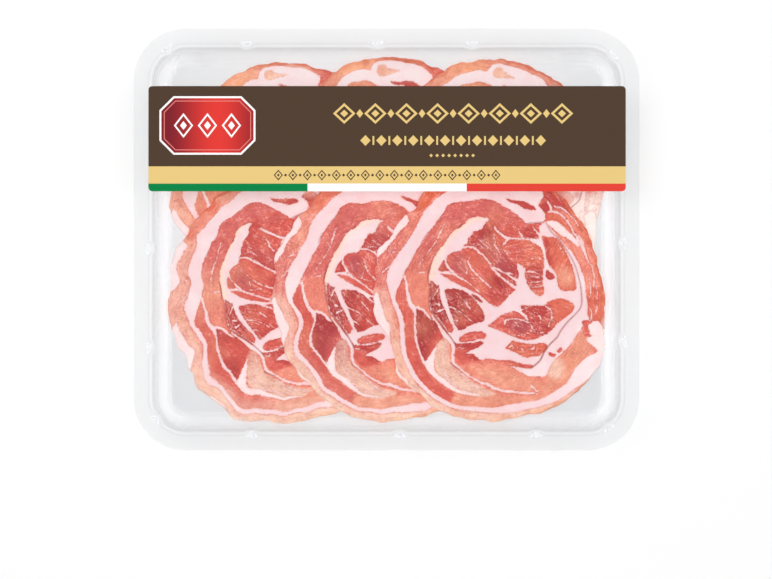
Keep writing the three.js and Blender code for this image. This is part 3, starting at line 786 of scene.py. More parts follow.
# %% The veins: each knot is its place and its width
VEINS = [
    # Between the layers of the belly, and round the neck
    [(-42, 9, 1.2), (-41, 4, 1.3), (-40.4, 0, 1.7), (-39.5, -4, 2), (-37.4, -7.3, 2.2),
     (-36.8, -10, 1.2), (-36.9, -14, 1), (-36.7, -18, 1.1), (-36, -24, 1.1), (-34.8, -28, 1.1),
     (-33.8, -31, 1), (-32, -35, 1.3)],
    [(-37.5, -6.4, 1.2), (-35, -6.7, 1.3), (-32.5, -8, 1.2), (-30, -11, 1.1), (-28, -12.7, 0.6)],
    [(-28.2, -10.6, 0.9), (-25.7, -14, 1.1), (-23.5, -17.5, 1.6), (-21.8, -20.4, 2.4),
     (-19.6, -22.2, 2.2), (-17.8, -25, 2), (-17.3, -28, 1.6), (-17.9, -31, 1.4),
     (-17.3, -34.5, 1.5), (-15, -36.7, 1.3)],
    [(-17.5, -35, 1.3), (-14, -37.5, 1.1), (-10, -40.5, 1.1), (-6, -43, 1.1), (-3, -44.5, 1.2),
     (0, -45.2, 1.6), (3, -47, 1.6), (7, -48.5, 1.2), (12, -49, 1.1), (17, -49.6, 1.2),
     (22, -49.8, 1.2), (25, -50.2, 0.4)],
    # Fine ones in the pale fat under the neck, and in the layers at the left
    [(-15, -38.5, 0.22), (-11, -42, 0.5), (-7, -45.5, 0.55), (-3, -48, 0.5), (1, -50, 0.28)],
    [(-18.5, -37, 0.17), (-14, -41.5, 0.39), (-10, -45, 0.44), (-6, -48, 0.28)],
    [(-23.5, -36.5, 0.33), (-22.5, -39, 0.5), (-20, -41.5, 0.44), (-16, -43, 0.22)],
    [(-22, -41, 0.22), (-18, -44.5, 0.44), (-13, -47, 0.5), (-8, -48.5, 0.28)],
    [(-24, -28, 0.17), (-24.6, -33, 0.33), (-24.5, -37, 0.22)],
    [(-21, -25, 0.17), (-21.5, -30, 0.28), (-21, -34, 0.17)],
    [(21, -45, 0.4), (23, -47, 0.9), (25.5, -49.5, 0.6)],
    [(-22.3, 35.3, 0.3), (-24, 31.5, 0.5), (-26.8, 26, 0.45), (-29.5, 22.2, 0.5), (-32, 18.5, 0.35),
     (-34, 16.5, 0.5), (-34.5, 14.5, 0.2)],
    [(-35, 11, 0.3), (-33, 11.3, 0.5), (-30.8, 11.4, 0.3)],
    [(-48.8, 15, 0.3), (-52, 12.3, 0.7), (-53.4, 11, 0.4)],
    [(-46, 21.9, 0.3), (-49, 21, 0.6)],
    # Between and inside the upper and the middle muscles
    [(-12.8, 24, 0.8), (-10, 24.1, 0.9), (-7, 23.2, 0.9), (-4.5, 21.2, 1), (-2.5, 19.6, 1.2),
     (-0.8, 17.6, 0.9), (1, 15, 0.9), (3, 12.3, 1.2), (6, 9.4, 1.1), (9, 6.8, 0.9), (12, 4.8, 1.2),
     (14.5, 3, 2)],
    [(2.2, 13.6, 0.5), (4, 13.2, 1.1), (6.5, 11.8, 0.8), (9.5, 10.2, 0.7), (12.5, 8.3, 0.9),
     (15, 7, 1.3)],
    [(7, 11.6, 0.3), (10.5, 10.8, 0.6), (12.5, 10, 0.3)],
    [(-21.7, 19.3, 0.9), (-21.3, 16, 0.8), (-19.7, 13.3, 1), (-18, 11.3, 1.2), (-16, 9.4, 1),
     (-13, 7.9, 0.9), (-10, 6, 0.8), (-7, 3.5, 0.8), (-5, 1.6, 1)],
    [(-25, 11.2, 0.7), (-21, 11, 0.7), (-18, 10.3, 0.8), (-16.5, 9.5, 0.8)],
    [(-11, 19.5, 0.2), (-10.3, 17, 0.4), (-9.5, 14.5, 0.6), (-7.5, 12, 0.7), (-5, 9.3, 0.6),
     (-2.5, 7, 0.5), (0, 5, 0.5), (2, 3.2, 0.3)],
    [(-10.4, 13.4, 0.3), (-10.9, 10.6, 0.5)],
    [(-12.5, 9.6, 0.2), (-9, 8.6, 0.4), (-6, 8, 0.2)],
    [(2.7, 30, 0.2), (3.4, 27, 0.4), (3.3, 25, 0.5), (4.4, 23, 0.5), (6, 20.4, 0.2)],
    [(-9, 25.4, 0.2), (-5, 25.2, 0.4), (-1.5, 22.4, 0.2)],
    [(-6, 28.6, 0.2), (-3, 26.2, 0.35), (0, 23, 0.2)],
    [(7.5, 22.3, 0.2), (9.5, 21.6, 0.7), (11, 21.2, 0.2)],
    [(3, 34, 1), (4.2, 32.4, 1.2), (6.5, 30.3, 1.1), (9.2, 28.6, 1.5), (12, 28.3, 0.9),
     (16, 28.2, 0.8), (20, 28, 0.8), (22.5, 27.8, 1.2)],
    [(10, 28.3, 1), (8.6, 26.4, 0.9), (7, 24.5, 0.4)],
    [(15.2, 33.4, 0.3), (16, 31, 0.6), (17.6, 28.7, 1)],
    [(22.6, 34.4, 0.4), (24, 32.2, 0.8), (25.8, 30.5, 1.2), (26.6, 28, 1.5), (27.4, 24.5, 1.5),
     (28.4, 21, 1.3), (29, 17, 1), (29.2, 14.6, 0.8), (28.4, 11, 0.7), (28.2, 8, 1.2)],
    # In the muscles at the right
    [(29.1, 15.5, 1), (30.6, 13.2, 1), (33, 11.4, 1), (34.6, 9, 0.9)],
    [(15, 15.6, 0.8), (16, 13.6, 1.6), (17, 11.5, 2), (17, 8, 3)],
    [(19, 11.8, 0.3), (23, 11.4, 0.5), (27, 10, 0.3)],
    [(19.5, 8.6, 0.3), (23, 9.2, 0.4), (26, 8.4, 0.3)],
    [(20, 6.2, 0.2), (24, 6.1, 0.5), (28, 7.1, 0.3)],
    [(22, 3.8, 0.3), (26, 4, 0.4), (28, 4.8, 0.2)],
    [(22, 18.2, 0.6), (22.7, 18.1, 0.7)],
    [(26, 18.2, 0.6), (26.6, 18.1, 0.7)],
    [(35, 26, 0.2), (36, 24.4, 0.4), (37.8, 21.4, 0.2)],
    # Between and inside the muscles at the left
    [(-24.4, 6, 1.6), (-23.6, 2, 1.8), (-22.8, -1, 1.9), (-21.6, -5, 1.9), (-20.2, -9, 1.8),
     (-19, -12.4, 1.5), (-17.2, -15.4, 1), (-15.6, -18, 0.9)],
    [(-20.4, -6, 0.5), (-18, -6.6, 0.7), (-15, -8, 0.4), (-11, -11, 0.4), (-8, -13.6, 0.2)],
    [(-12.2, -2.6, 0.2), (-10.8, -4.8, 0.6), (-9, -7.4, 0.5)],
    [(-19, -13.5, 0.3), (-16.5, -13, 0.6), (-14.6, -14, 0.2)],
    [(-26.2, -4.6, 0.8), (-24.6, -5.2, 1)],
    [(-25.6, -8.6, 0.9), (-24, -8, 0.9), (-22.6, -7.2, 0.4)],
    [(-28, -1.6, 0.2), (-26.4, 1, 0.5), (-25, 3.4, 0.4)],
    [(-14.5, -24.5, 0.5), (-10, -24, 0.5), (-5, -22.8, 0.5), (-1.8, -22.2, 0.6)],
    [(-15.6, -26.8, 0.3), (-13.5, -26.7, 0.5), (-11.8, -27, 0.2)],
    # Inside the lower muscles
    [(8.6, -15.6, 0.3), (8.4, -13.6, 0.7), (10, -12.4, 0.9), (14, -12.2, 0.6), (18, -13, 0.5),
     (21, -14.6, 0.6), (22.3, -16.6, 0.6), (21.6, -18.6, 0.5), (19, -20, 0.4), (15, -20.6, 0.4)],
    [(12, -13, 0.2), (14.6, -14.6, 0.4), (15.4, -16.2, 0.2)],
    [(22.3, -17, 0.4), (24.4, -18.6, 0.5), (28.4, -19.4, 0.3)],
    [(16.5, -7.6, 0.5), (18.5, -7, 0.3), (20.6, -6.4, 0.2)],
    [(22.5, -8.6, 0.2), (25, -9.6, 0.4), (26.6, -12, 0.4), (26.4, -14, 0.2)],
    [(28.6, -5.4, 0.5), (30.6, -7, 0.6), (32.2, -9, 0.6), (32.2, -11.8, 0.5), (34, -14, 0.3)],
    [(32, -11.8, 0.4), (31, -14.5, 0.4), (30.4, -17, 0.3)],
    [(10.6, -26.6, 0.5), (12.4, -25.8, 0.5), (12.6, -27.6, 0.3)],
    [(14.6, -26.4, 0.2), (17, -27.4, 0.7), (19, -28.4, 0.4)],
    [(20.4, -27, 0.4), (22.6, -27.4, 0.8), (23.6, -25.4, 0.4)],
    [(22.8, -27.6, 0.6), (23.6, -29.6, 0.4)],
    # In the lean along the right side
    [(30.5, 41.8, 0.8), (33, 41.8, 1.1), (36, 40.8, 1), (38.6, 38.6, 1), (41, 35.5, 1), (43, 32, 1),
     (45, 28.6, 1.2), (47, 25.4, 1.6), (48.4, 22.4, 1.6), (49.6, 19, 0.9), (51.5, 15, 0.4)],
    [(33.5, 44.6, 0.5), (36.5, 43.8, 0.9), (40, 41.6, 0.6), (43.6, 37.6, 0.6), (47, 32.6, 0.3)],
    [(30, 46.8, 0.8), (31.4, 44.6, 1), (32, 42, 1.2)],
    [(45.4, 30, 0.4), (47.2, 27.4, 0.8), (48.4, 24.6, 0.6)],
    [(52, 15.6, 0.3), (53.4, 9.6, 0.6), (53, 3, 0.3)],
    [(50.8, 8.6, 0.3), (51.8, 3, 0.5), (51.4, -3.4, 0.3)],
    [(54.8, 4.6, 0.3), (55.4, -2.6, 0.5), (54.6, -9, 0.3)],
    [(51, -6, 0.2), (52.4, -9, 0.5), (52, -12, 0.8)],
]
for knots in VEINS:
    roll.vein(knots)
print("veins:", len(VEINS))

# %% Dark gaps where the layers part: how dark each is, and its knots
GAPS = [
    (0.7, [(29.5, 36, 0.5), (31, 33, 0.5), (33, 30.6, 0.5), (35.2, 28.6, 0.6), (38.4, 24.3, 0.6),
           (41.2, 20, 0.5), (43.8, 15, 0.45), (45.4, 10, 0.5), (46.6, 5, 0.6), (47.2, 0, 0.65),
           (47.3, -4, 0.65), (46.5, -7, 0.6), (44, -10, 0.6), (40, -14, 0.7), (37, -18, 0.7),
           (35, -21.5, 0.7)]),
    (0.9, [(36, -19.7, 0.5), (35, -21.5, 0.6), (31, -25.5, 0.65), (28.5, -29, 0.7),
           (26.5, -33, 0.7), (24, -35.5, 0.6), (21.5, -37.3, 0.3)]),
    (1, [(-28.9, 16, 0.25), (-29.8, 12, 0.55), (-30.3, 9, 0.5), (-30.6, 7, 0.3)]),
    (0.8, [(-13, 36.3, 0.3), (-13.8, 34.6, 0.8), (-15, 33.7, 0.4)]),
    (0.9, [(-18.8, -34.6, 0.5), (-17, -36, 0.45), (-13.5, -38.1, 0.2)]),
    (0.9, [(19.5, 36, 0.25), (24, 36.3, 0.4), (28, 36.5, 0.3)]),
    (0.9, [(-27.5, -11, 0.2), (-25.6, -13.2, 0.35), (-23, -16.4, 0.4), (-20.4, -19.6, 0.45),
           (-18.4, -22.2, 0.45), (-16.6, -25, 0.5), (-15.6, -27, 0.25)]),
    (0.5, [(-25.6, 37.6, 0.3), (-22.6, 40.8, 0.25), (-20.4, 44.6, 0.2)]),
    (0.6, [(-33, 27.6, 0.25), (-31.6, 29.8, 0.4), (-30, 32, 0.2)]),
    (0.6, [(-42.3, 10.6, 0.2), (-41.4, 12.4, 0.5), (-40.6, 14, 0.2)]),
]
for strength, knots in GAPS:
    roll.dark_line(strength, knots)
print("gaps:", len(GAPS), "fat share of the chart:", roll.fat_share())


# %% [markdown]
# ## The six slices
#
# Each slice is a thin sheet that drapes over the ones beneath it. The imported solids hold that
# drape with few faces, so a fine grid is pressed into a disc, stretched to the solid's outline
# and laid at the solid's height, blurred a little so that no facet is left. The under side gets a
# coarser grid, and the two are bridged along the rim. All of the roll's slices look alike but
# not the same: each one has turned a little on the stack, so the chart is turned with it, and a
# few places are nudged to where they lie on that slice.

# %% Where the slices lie, and how each differs from the chart
# On each slice the roll has turned by some degrees, and the lean near the rim is a little paler.
# A push moves the rim out: at an angle, by so many mm, over a half width in degrees.
# A nudge moves the pattern: at a place, by a run and a rise, within a reach.
# A wash tints a kind of tissue: its tone, its place, its reach and how strong it is.
RIM_STEPS = 72
RIM_FINE = 1440
ON_STEP = 0.05
SLICES = {
    "slice_back_left": {
        "middle": (-50.7, 26.4), "turn": 12, "pale": 0.6,
        "pushes": [(200, 3, 14)],
        "nudges": [(-1, 50, -3, 2, 8), (6, 59, 0, 0.5, 12)],
        "washes": [
            ("fat", "milk", 0, 48, 26, 0.9), ("lean", "peach", -44, -6, 12, 0.85),
            ("lean", "apricot", -24, 50, 9, 0.9), ("lean", "coral", 19, 54, 5, 0.9),
        ],
    },
    "slice_back_middle": {
        "middle": (1.7, 28.2), "turn": 7, "pale": 0.45,
        "pushes": [(90, 1.2, 20)],
        "nudges": [
            (-18, 50, 0, 1.2, 10), (-20, 50.5, 0, 3.6, 3.6), (-13, 50.5, 0, 3.6, 3.6),
            (5, 50, -3, 2, 8), (8, 59, 0, 0.3, 12),
        ],
        "washes": [
            ("fat", "milk", 0, 48, 26, 0.9), ("lean", "apricot", -17, 56, 8, 0.9),
            ("lean", "coral", 25, 54, 5, 0.9),
        ],
    },
    "slice_back_right": {
        "middle": (53.3, 26.9), "turn": 0, "pale": 0.45,
        "pushes": [(90, 1.2, 20), (345, -2.5, 20)],
        "nudges": [
            (-11, 50, 0, 1.5, 9), (-14, 50.5, 0, 3.3, 3.6), (-7, 50.5, 0, 3.3, 3.6),
            (8, 50, -3, 1.5, 6),
        ],
        "washes": [
            ("fat", "milk", 0, 48, 26, 0.9), ("all", "ivory", 50, -12, 12, 0.95),
            ("all", "ivory", 44, -26, 9, 0.95), ("all", "peach", 50, -1.5, 1.6, 0.8),
            ("all", "coral", 43, -4, 1.3, 0.7), ("all", "peach", 38, -7, 1.2, 0.7),
            ("lean", "apricot", -11, 56, 9, 0.9),
        ],
    },
    "slice_front_left": {
        "middle": (-52.7, -28.4), "turn": 15, "pale": 0.5,
        "pushes": [
            (117, -2.6, 6), (133, -2.5, 6), (155, 2, 5), (163, 2.5, 6), (205, 2, 6),
            (217, 4.5, 9), (231, 3, 6), (248, 3.2, 7),
        ],
        "nudges": [
            (-17, 35, -6, 0, 9), (9, 41, -5, 0, 8), (-13, 17, -4, -1.5, 8), (-13, -1, -2, -3.5, 8),
            (-4, -24, -2.5, -2.5, 6), (-48, 0, 2, 0, 12),
        ],
        "washes": [
            ("lean", "peach", -36, 2, 8, 0.9), ("lean", "rind", -36.5, 45, 3.5, 1.0),
            ("lean", "salmon", -41, 37, 4, 0.8), ("lean", "rind", -46, 31, 2.5, 0.7),
            ("lean", "flesh", -51, 20, 5, 0.8), ("lean", "flesh", -55, 0, 9, 0.7),
            ("lean", "flesh", -50, -26, 7, 0.7), ("lean", "coral", -24, -26, 7, 0.95),
            ("lean", "coral", -9, 28, 8, 0.8), ("lean", "coral", -11, -10, 7, 0.9),
            ("lean", "red", -24, -8, 5, 0.6),
        ],
    },
    "slice_front_middle": {
        "middle": (-0.4, -27.9), "turn": 2, "pale": 0.15,
        "pushes": [
            (132, -2.5, 4), (158, 3.8, 8), (195, -1, 5), (211, 5.5, 6), (222, 2, 5), (248, -1, 6),
        ],
        "nudges": [],
        "washes": [
            ("lean", "rosy", -50, 14, 10, 0.9), ("lean", "mauve", -27, -25, 7, 0.6),
            ("lean", "coral", -12, -8, 6, 0.7), ("lean", "rosy", 0, 35, 4.5, 0.9),
            ("lean", "salmon", -6, 45, 5, 0.6), ("lean", "red", 10, 44, 4, 0.5),
        ],
    },
    "slice_front_right": {
        "middle": (51.2, -27.6), "turn": 0, "pale": 0.0,
        "pushes": [(131, -3.5, 6), (160, 4, 9), (220, 3.3, 9), (329, 3.2, 9), (339, 2.8, 12)],
        "nudges": [],
        "washes": [
            ("lean", "rosy", -50, 14, 10, 0.7), ("fat", "ivory", 57, -25, 6, 0.8),
            ("fat", "milk", 52, -38, 11, 0.95),
        ],
    },
}
CHART_SLICE = "slice_front_right"


def rim_of(name):
    """The slice's radius in every direction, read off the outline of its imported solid."""
    places = np.array([vertex.co[:2] for vertex in frame["nodes"][name].data.vertices]) / MM
    places -= SLICES[name]["middle"]
    turned = np.arctan2(places[:, 1], places[:, 0]) / (2 * math.pi) * RIM_STEPS
    steps = np.rint(turned).astype(int)
    on_step = np.abs(turned - steps) < ON_STEP
    radii = np.zeros(RIM_STEPS)
    np.maximum.at(radii, steps[on_step] % RIM_STEPS, np.hypot(*places[on_step].T))
    waves = np.fft.rfft(radii)
    return np.fft.irfft(waves, RIM_FINE) * RIM_FINE / RIM_STEPS


def outline_of(name):
    """The rim as the picture shows it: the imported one, pushed out or in near some directions."""
    degrees = np.arange(RIM_FINE) * 360 / RIM_FINE
    outline = RIMS[name].copy()
    for at, push, half in SLICES[name]["pushes"]:
        away = np.abs((degrees - at + 180) % 360 - 180)
        outline += push * 0.5 ** ((away / half) ** 2)
    return outline


def at_angle(rim, angle):
    return np.interp(angle, np.arange(RIM_FINE) * 2 * math.pi / RIM_FINE, rim, period=2 * math.pi)


RIMS = {name: rim_of(name) for name in SLICES}
OUTLINES = {name: outline_of(name) for name in SLICES}
for name, rim in OUTLINES.items():
    print(name, "radius", round(rim.min(), 1), "to", round(rim.max(), 1), "mm")

# %% The height of a slice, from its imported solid
TRAY_LOW, TRAY_HIGH = (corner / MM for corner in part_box("tray"))
TRAY_WIDTH, TRAY_DEPTH, TRAY_TOP = TRAY_HIGH.x - TRAY_LOW.x, TRAY_HIGH.y - TRAY_LOW.y, TRAY_HIGH.z
TRAY_CORNER = 26.0
FLOOR_INSET = 19.0
FOOT_RADIUS = 8.0
CLIMB_LIMIT = 7.5
HEIGHT_REACH = 74.0
HEIGHT_CELL = 1.0
HEIGHT_BLUR = 2.6
BLUR_REACH = 3
RAY_START = 1.0
INSIDE_RIM = 0.975


def blurred(raster, cells):
    reach = int(BLUR_REACH * cells)
    weights = np.exp(-0.5 * (np.arange(-reach, reach + 1) / cells) ** 2)
    weights /= weights.sum()
    for axis in (0, 1):
        padding = [(reach, reach) if axis == side else (0, 0) for side in (0, 1)]
        padded = np.pad(raster, padding, mode="edge")
        raster = np.apply_along_axis(np.convolve, axis, padded, weights, "valid")
    return raster


def foot_rise(x, y):
    """How far the tray's round foot has risen above its floor at a place, in mm."""
    over_x = np.abs(x) - (TRAY_WIDTH / 2 - TRAY_CORNER)
    over_y = np.abs(y) - (TRAY_DEPTH / 2 - TRAY_CORNER)
    beyond = np.hypot(np.maximum(over_x, 0), np.maximum(over_y, 0))
    inset = TRAY_CORNER - beyond - np.minimum(np.maximum(over_x, over_y), 0)
    onto = np.clip(FLOOR_INSET - inset, 0, CLIMB_LIMIT)
    return FOOT_RADIUS - np.sqrt(FOOT_RADIUS**2 - onto**2)


def height_map(name):
    """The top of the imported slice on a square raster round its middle, blurred, in mm.
    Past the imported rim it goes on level, and climbs with the tray's foot."""
    mesh = frame["nodes"][name].data
    tree = BVHTree.FromPolygons(
        [vertex.co for vertex in mesh.vertices],
        [polygon.vertices for polygon in mesh.polygons],
    )
    ticks = np.arange(-HEIGHT_REACH, HEIGHT_REACH + HEIGHT_CELL, HEIGHT_CELL)
    u, v = np.meshgrid(ticks, ticks)
    angle = np.arctan2(v, u)
    radius = np.minimum(np.hypot(u, v), at_angle(RIMS[name], angle) * INSIDE_RIM)
    middle = SLICES[name]["middle"]
    x, y = middle[0] + radius * np.cos(angle), middle[1] + radius * np.sin(angle)
    climb = foot_rise(middle[0] + u, middle[1] + v) - foot_rise(x, y)
    down = Vector((0, 0, -1))
    heights = np.zeros(u.size)
    for k, (east, north) in enumerate(zip(x.flat, y.flat)):
        heights[k] = tree.ray_cast(Vector((east * MM, north * MM, RAY_START)), down)[0].z
    return blurred(heights.reshape(u.shape) / MM + climb, HEIGHT_BLUR / HEIGHT_CELL)


def height_at(raster, u, v):
    x, y = (u + HEIGHT_REACH) / HEIGHT_CELL, (v + HEIGHT_REACH) / HEIGHT_CELL
    i, j = x.astype(int), y.astype(int)
    x, y = x - i, y - j
    low = raster[j, i] * (1 - x) + raster[j, i + 1] * x
    high = raster[j + 1, i] * (1 - x) + raster[j + 1, i + 1] * x
    return low * (1 - y) + high * y


print("tray:", round(TRAY_WIDTH), "x", round(TRAY_DEPTH), "x", round(TRAY_TOP, 1), "mm")

# %% From a place on a slice to its place on the chart
WARP = 0.7
WARP_LENGTH = 31.0
WARP_PHASES = (1.7, 2.3)
WARP_FADES = (0.8, 1.0)
FIT_GROWS = (0.4, 1.0)


def on_chart(name, u, v):
    """Turns the roll back, fits its rim to this slice's, and adds the nudges and a slow warp."""
    own = at_angle(OUTLINES[name], np.arctan2(v, u))
    share = np.hypot(u, v) / own
    inner = 1 - smooth(share, *WARP_FADES)
    east, north = u, v
    for at_u, at_v, run, rise, reach in SLICES[name]["nudges"]:
        pull = np.exp(-((u - at_u) ** 2 + (v - at_v) ** 2) / (2 * reach**2))
        east, north = east - run * pull, north - rise * pull
    number = list(SLICES).index(name)
    if name != CHART_SLICE:
        wave = 2 * math.pi / WARP_LENGTH
        east = east + WARP * inner * np.sin(wave * v + WARP_PHASES[0] * number)
        north = north + WARP * inner * np.sin(wave * u + WARP_PHASES[1] * number)
    turned = np.arctan2(north, east) - math.radians(SLICES[name]["turn"])
    fit = at_angle(OUTLINES[CHART_SLICE], turned) / own
    radius = np.hypot(east, north) * (1 + (fit - 1) * smooth(share, *FIT_GROWS))
    return radius * np.cos(turned), radius * np.sin(turned)


for name in SLICES:
    shown = on_chart(name, np.array([30.0]), np.array([0.0]))
    print(name, "shows at 30, 0 the chart's", *(round(float(value[0]), 1) for value in shown))

# %% The rim: frayed, with a thin fringe, and washed here and there
FRAY = 0.3
FINE_FRAY, SLOW_FRAY = 0.4, 0.8
BUMP_STEPS = (9, 27, 19)
PALE_ZONE = (0.78, 0.88)
FRINGE = 1.3
FRINGE_VARIES = 0.45
FRINGE_LEAST = 0.2
FRINGE_FADE = (0.5, 1.3, 0.1)
FRINGE_TONES = [
    (-85, 0.8, (246, 196, 158)), (-60, 0.9, (240, 168, 126)), (-44, 0.9, (237, 156, 112)),
    (-36, 0.8, (250, 238, 230)), (-16, 0.8, (250, 236, 226)), (-10, 0.8, (230, 124, 84)),
    (20, 0.8, (230, 120, 80)), (60, 0.9, (214, 108, 74)), (120, 0.8, (218, 112, 78)),
    (132, 0.3, (232, 144, 124)), (140, 0.0, (232, 144, 124)), (205, 0.0, (250, 214, 196)),
    (222, 0.8, (250, 226, 212)), (245, 0.8, (250, 222, 200)),
]
WASHED = {"lean": (LEAN,), "fat": (FAT,), "all": (LEAN, FAT)}


def uneven(draws, steps):
    """Smooth random bumps along the rim, about 1 high; each is some steps of the rim long."""
    window = np.hanning(steps + 2)[1:-1]
    drawn = np.pad(draws.normal(0, 1, RIM_FINE), steps // 2, mode="wrap")
    return np.convolve(drawn, window / np.sqrt((window**2).sum()), "valid")


def frayed_rim(name):
    """The rim with fine and slow bumps, and how the width of its fringe varies along it."""
    draws = np.random.default_rng(SEED + len(name))
    fine, slow, band = (uneven(draws, steps) for steps in BUMP_STEPS)
    return OUTLINES[name] - FRAY * (1 + FINE_FRAY * fine + SLOW_FRAY * slow), band


def fringe_tone(angle):
    """The colour of the thin outer edge and its share, by the direction on the roll."""
    directions = np.radians([degrees for degrees, _, _ in FRINGE_TONES])
    knots = np.array([linear(*tone)[:3] + (share,) for _, share, tone in FRINGE_TONES]).T
    values = [np.interp(angle, directions, knot, period=2 * math.pi) for knot in knots]
    return np.array(values[:3]), values[3]


def blend(chart, layer, tone, share):
    chart[layer] += (tone - chart[layer]) * share


def colour_rim(name, chart, angle, share, rim_gap, band):
    """Fades the lean near a pale slice's rim, and lays the fringe round it."""
    pale = SLICES[name]["pale"] * smooth(share, *PALE_ZONE)
    blend(chart, LEAN, painted("rim", 1), pale)
    edging = FRINGE * np.maximum(1 + FRINGE_VARIES * at_angle(band, angle), FRINGE_LEAST)
    start, end, least = FRINGE_FADE
    fringed = 1 - smooth(rim_gap, edging * start, edging * end + least)
    fringe, strength = fringe_tone(angle - math.radians(SLICES[name]["turn"]))
    for layer in (LEAN, FAT):
        blend(chart, layer, fringe, fringed * strength)


def wash(name, chart, u, v):
    for kind, tone, at_u, at_v, reach, strength in SLICES[name]["washes"]:
        share = strength * np.exp(-((u - at_u) ** 2 + (v - at_v) ** 2) / (2 * reach**2))
        for layer in WASHED[kind]:
            blend(chart, layer, painted(tone, 1), share)


print("fringe tones:", len(FRINGE_TONES))
print("washes:", sum(len(own["washes"]) for own in SLICES.values()))

# %% The sheet of one slice
TOP_CELLS = 280
UNDER_CELLS = 64
SLICE_THICKNESS = 1.3
SETTLE = 0.12
LEAN_SINKS = 0.07
LEAN_SLOPE = 0.4
GAP_SINKS = 0.12
EDGE_ROUND = 0.9
EDGE_DROP = 0.42


def square_sheet():
    """The two faces of a slice as square grids: the top one first, the under one turned over."""
    sheet = bmesh.new()
    bmesh.ops.create_grid(sheet, x_segments=TOP_CELLS, y_segments=TOP_CELLS, size=1)
    top, top_faces = len(sheet.verts), len(sheet.faces)
    bmesh.ops.create_grid(sheet, x_segments=UNDER_CELLS, y_segments=UNDER_CELLS, size=1)
    bmesh.ops.reverse_faces(sheet, faces=sheet.faces[top_faces:])
    return sheet, np.arange(len(sheet.verts)) < top


def disc_place(square):
    """Presses the square from -1 to 1 into the unit disc; every cell keeps its area."""
    a, b = square[:, 0], square[:, 1]
    wide = np.abs(a) >= np.abs(b)
    radius = np.where(wide, a, b)
    other = np.where(wide, b, a)
    safe = np.where(radius == 0, 1, radius)
    lean_over = math.pi / 4 * other / safe
    angle = np.where(wide, lean_over, math.pi / 2 - lean_over)
    return radius * np.cos(angle), radius * np.sin(angle)


def laid_height(raster, chart, u, v, rim_gap, on_top):
    """The drape, less the relief of the top and the round of the edge."""
    from_rim = np.clip(rim_gap / EDGE_ROUND, 0, 1)
    rounding = EDGE_DROP * (1 - np.sqrt(1 - (1 - from_rim) ** 2))
    relief = LEAN_SINKS * smooth(-chart[EDGE], -LEAN_SLOPE, LEAN_SLOPE) + GAP_SINKS * chart[SEAM]
    drop = np.where(on_top, -relief - rounding, rounding - SLICE_THICKNESS)
    return height_at(raster, u, v) - SETTLE + drop


def slice_sheet(name, raster):
    """One slice, placed in mm and bridged along its rim, with the chart's values on it."""
    sheet, on_top = square_sheet()
    across, up = disc_place(np.array([vertex.co[:2] for vertex in sheet.verts]))
    angle, share = np.arctan2(up, across), np.hypot(across, up)
    rim, band = frayed_rim(name)
    reach = at_angle(rim, angle)
    rim_gap = (1 - share) * reach
    u, v = share * reach * np.cos(angle), share * reach * np.sin(angle)
    chart = roll.sample(*on_chart(name, u, v))
    height = laid_height(raster, chart, u, v, rim_gap, on_top)
    colour_rim(name, chart, angle, share, rim_gap, band)
    wash(name, chart, u, v)
    middle = SLICES[name]["middle"]
    for vertex, x, y, z in zip(sheet.verts, u + middle[0], v + middle[1], height):
        vertex.co = (x * MM, y * MM, z * MM)
    bmesh.ops.bridge_loops(sheet, edges=[edge for edge in sheet.edges if edge.is_boundary])
    return sheet, u, v, chart, on_top


print("cells on a slice's top:", TOP_CELLS**2, "and under it:", UNDER_CELLS**2)

# %% What each slice carries for its finish
DISC_MAP = {"top": (0.36, 0.36, 0.35), "under": (0.79, 0.79, 0.19)}
RIM_OUTWARD = 1.03
NOISE_APART = 37.0


def bake_map(mesh, u, v, on_top):
    """A flat map: the top and the under side are two discs, and the rim lies round the top."""
    corners = len(mesh.loops)
    vertex = np.zeros(corners, int)
    mesh.loops.foreach_get("vertex_index", vertex)
    sizes = np.zeros(len(mesh.polygons), int)
    mesh.polygons.foreach_get("loop_total", sizes)
    upper = np.add.reduceat(on_top[vertex].astype(int), np.cumsum(sizes) - sizes) > 0
    upper = np.repeat(upper, sizes)
    reach = np.hypot(u, v).max()
    places = np.zeros((corners, 2))
    for side, mine in (("top", upper), ("under", ~upper)):
        x, y, radius = DISC_MAP[side]
        scale = radius / reach * np.where(mine & ~on_top[vertex] & (side == "top"), RIM_OUTWARD, 1)
        places[mine, 0] = (x + scale * u[vertex])[mine]
        places[mine, 1] = (y + scale * v[vertex])[mine]
    layer = mesh.uv_layers.new(name="OFBake")
    layer.data.foreach_set("uv", places.ravel())


def store_chart(mesh, chart, number):
    """Keeps the chart's values on the points, for the material to read."""
    for field, layer in (("fat_edge", EDGE), ("gap", SEAM), ("marbling", MARBLING)):
        values = mesh.attributes.new(field, "FLOAT", "POINT").data
        values.foreach_set("value", chart[layer])
    apart = np.full(chart.shape[1], NOISE_APART * number)
    course = np.stack([chart[ALONG], chart[ACROSS], apart], 1)
    mesh.attributes.new("fibre", "FLOAT_VECTOR", "POINT").data.foreach_set("vector", course.ravel())
    for field, layer in (("lean_tone", LEAN), ("fat_tone", FAT)):
        tone = np.vstack([chart[layer], np.ones((1, chart.shape[1]))]).T
        mesh.attributes.new(field, "FLOAT_COLOR", "POINT").data.foreach_set("color", tone.ravel())


def finished_piece(mesh, node, material):
    """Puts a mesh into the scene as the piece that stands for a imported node."""
    mesh.polygons.foreach_set("use_smooth", np.ones(len(mesh.polygons), bool))
    mesh.materials.append(material)
    piece = bpy.data.objects.new(mesh.name, mesh)
    bpy.context.scene.collection.objects.link(piece)
    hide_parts(node)
    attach(piece, "root")
    mesh.calc_loop_triangles()
    print(piece.name, len(mesh.loop_triangles), "triangles")


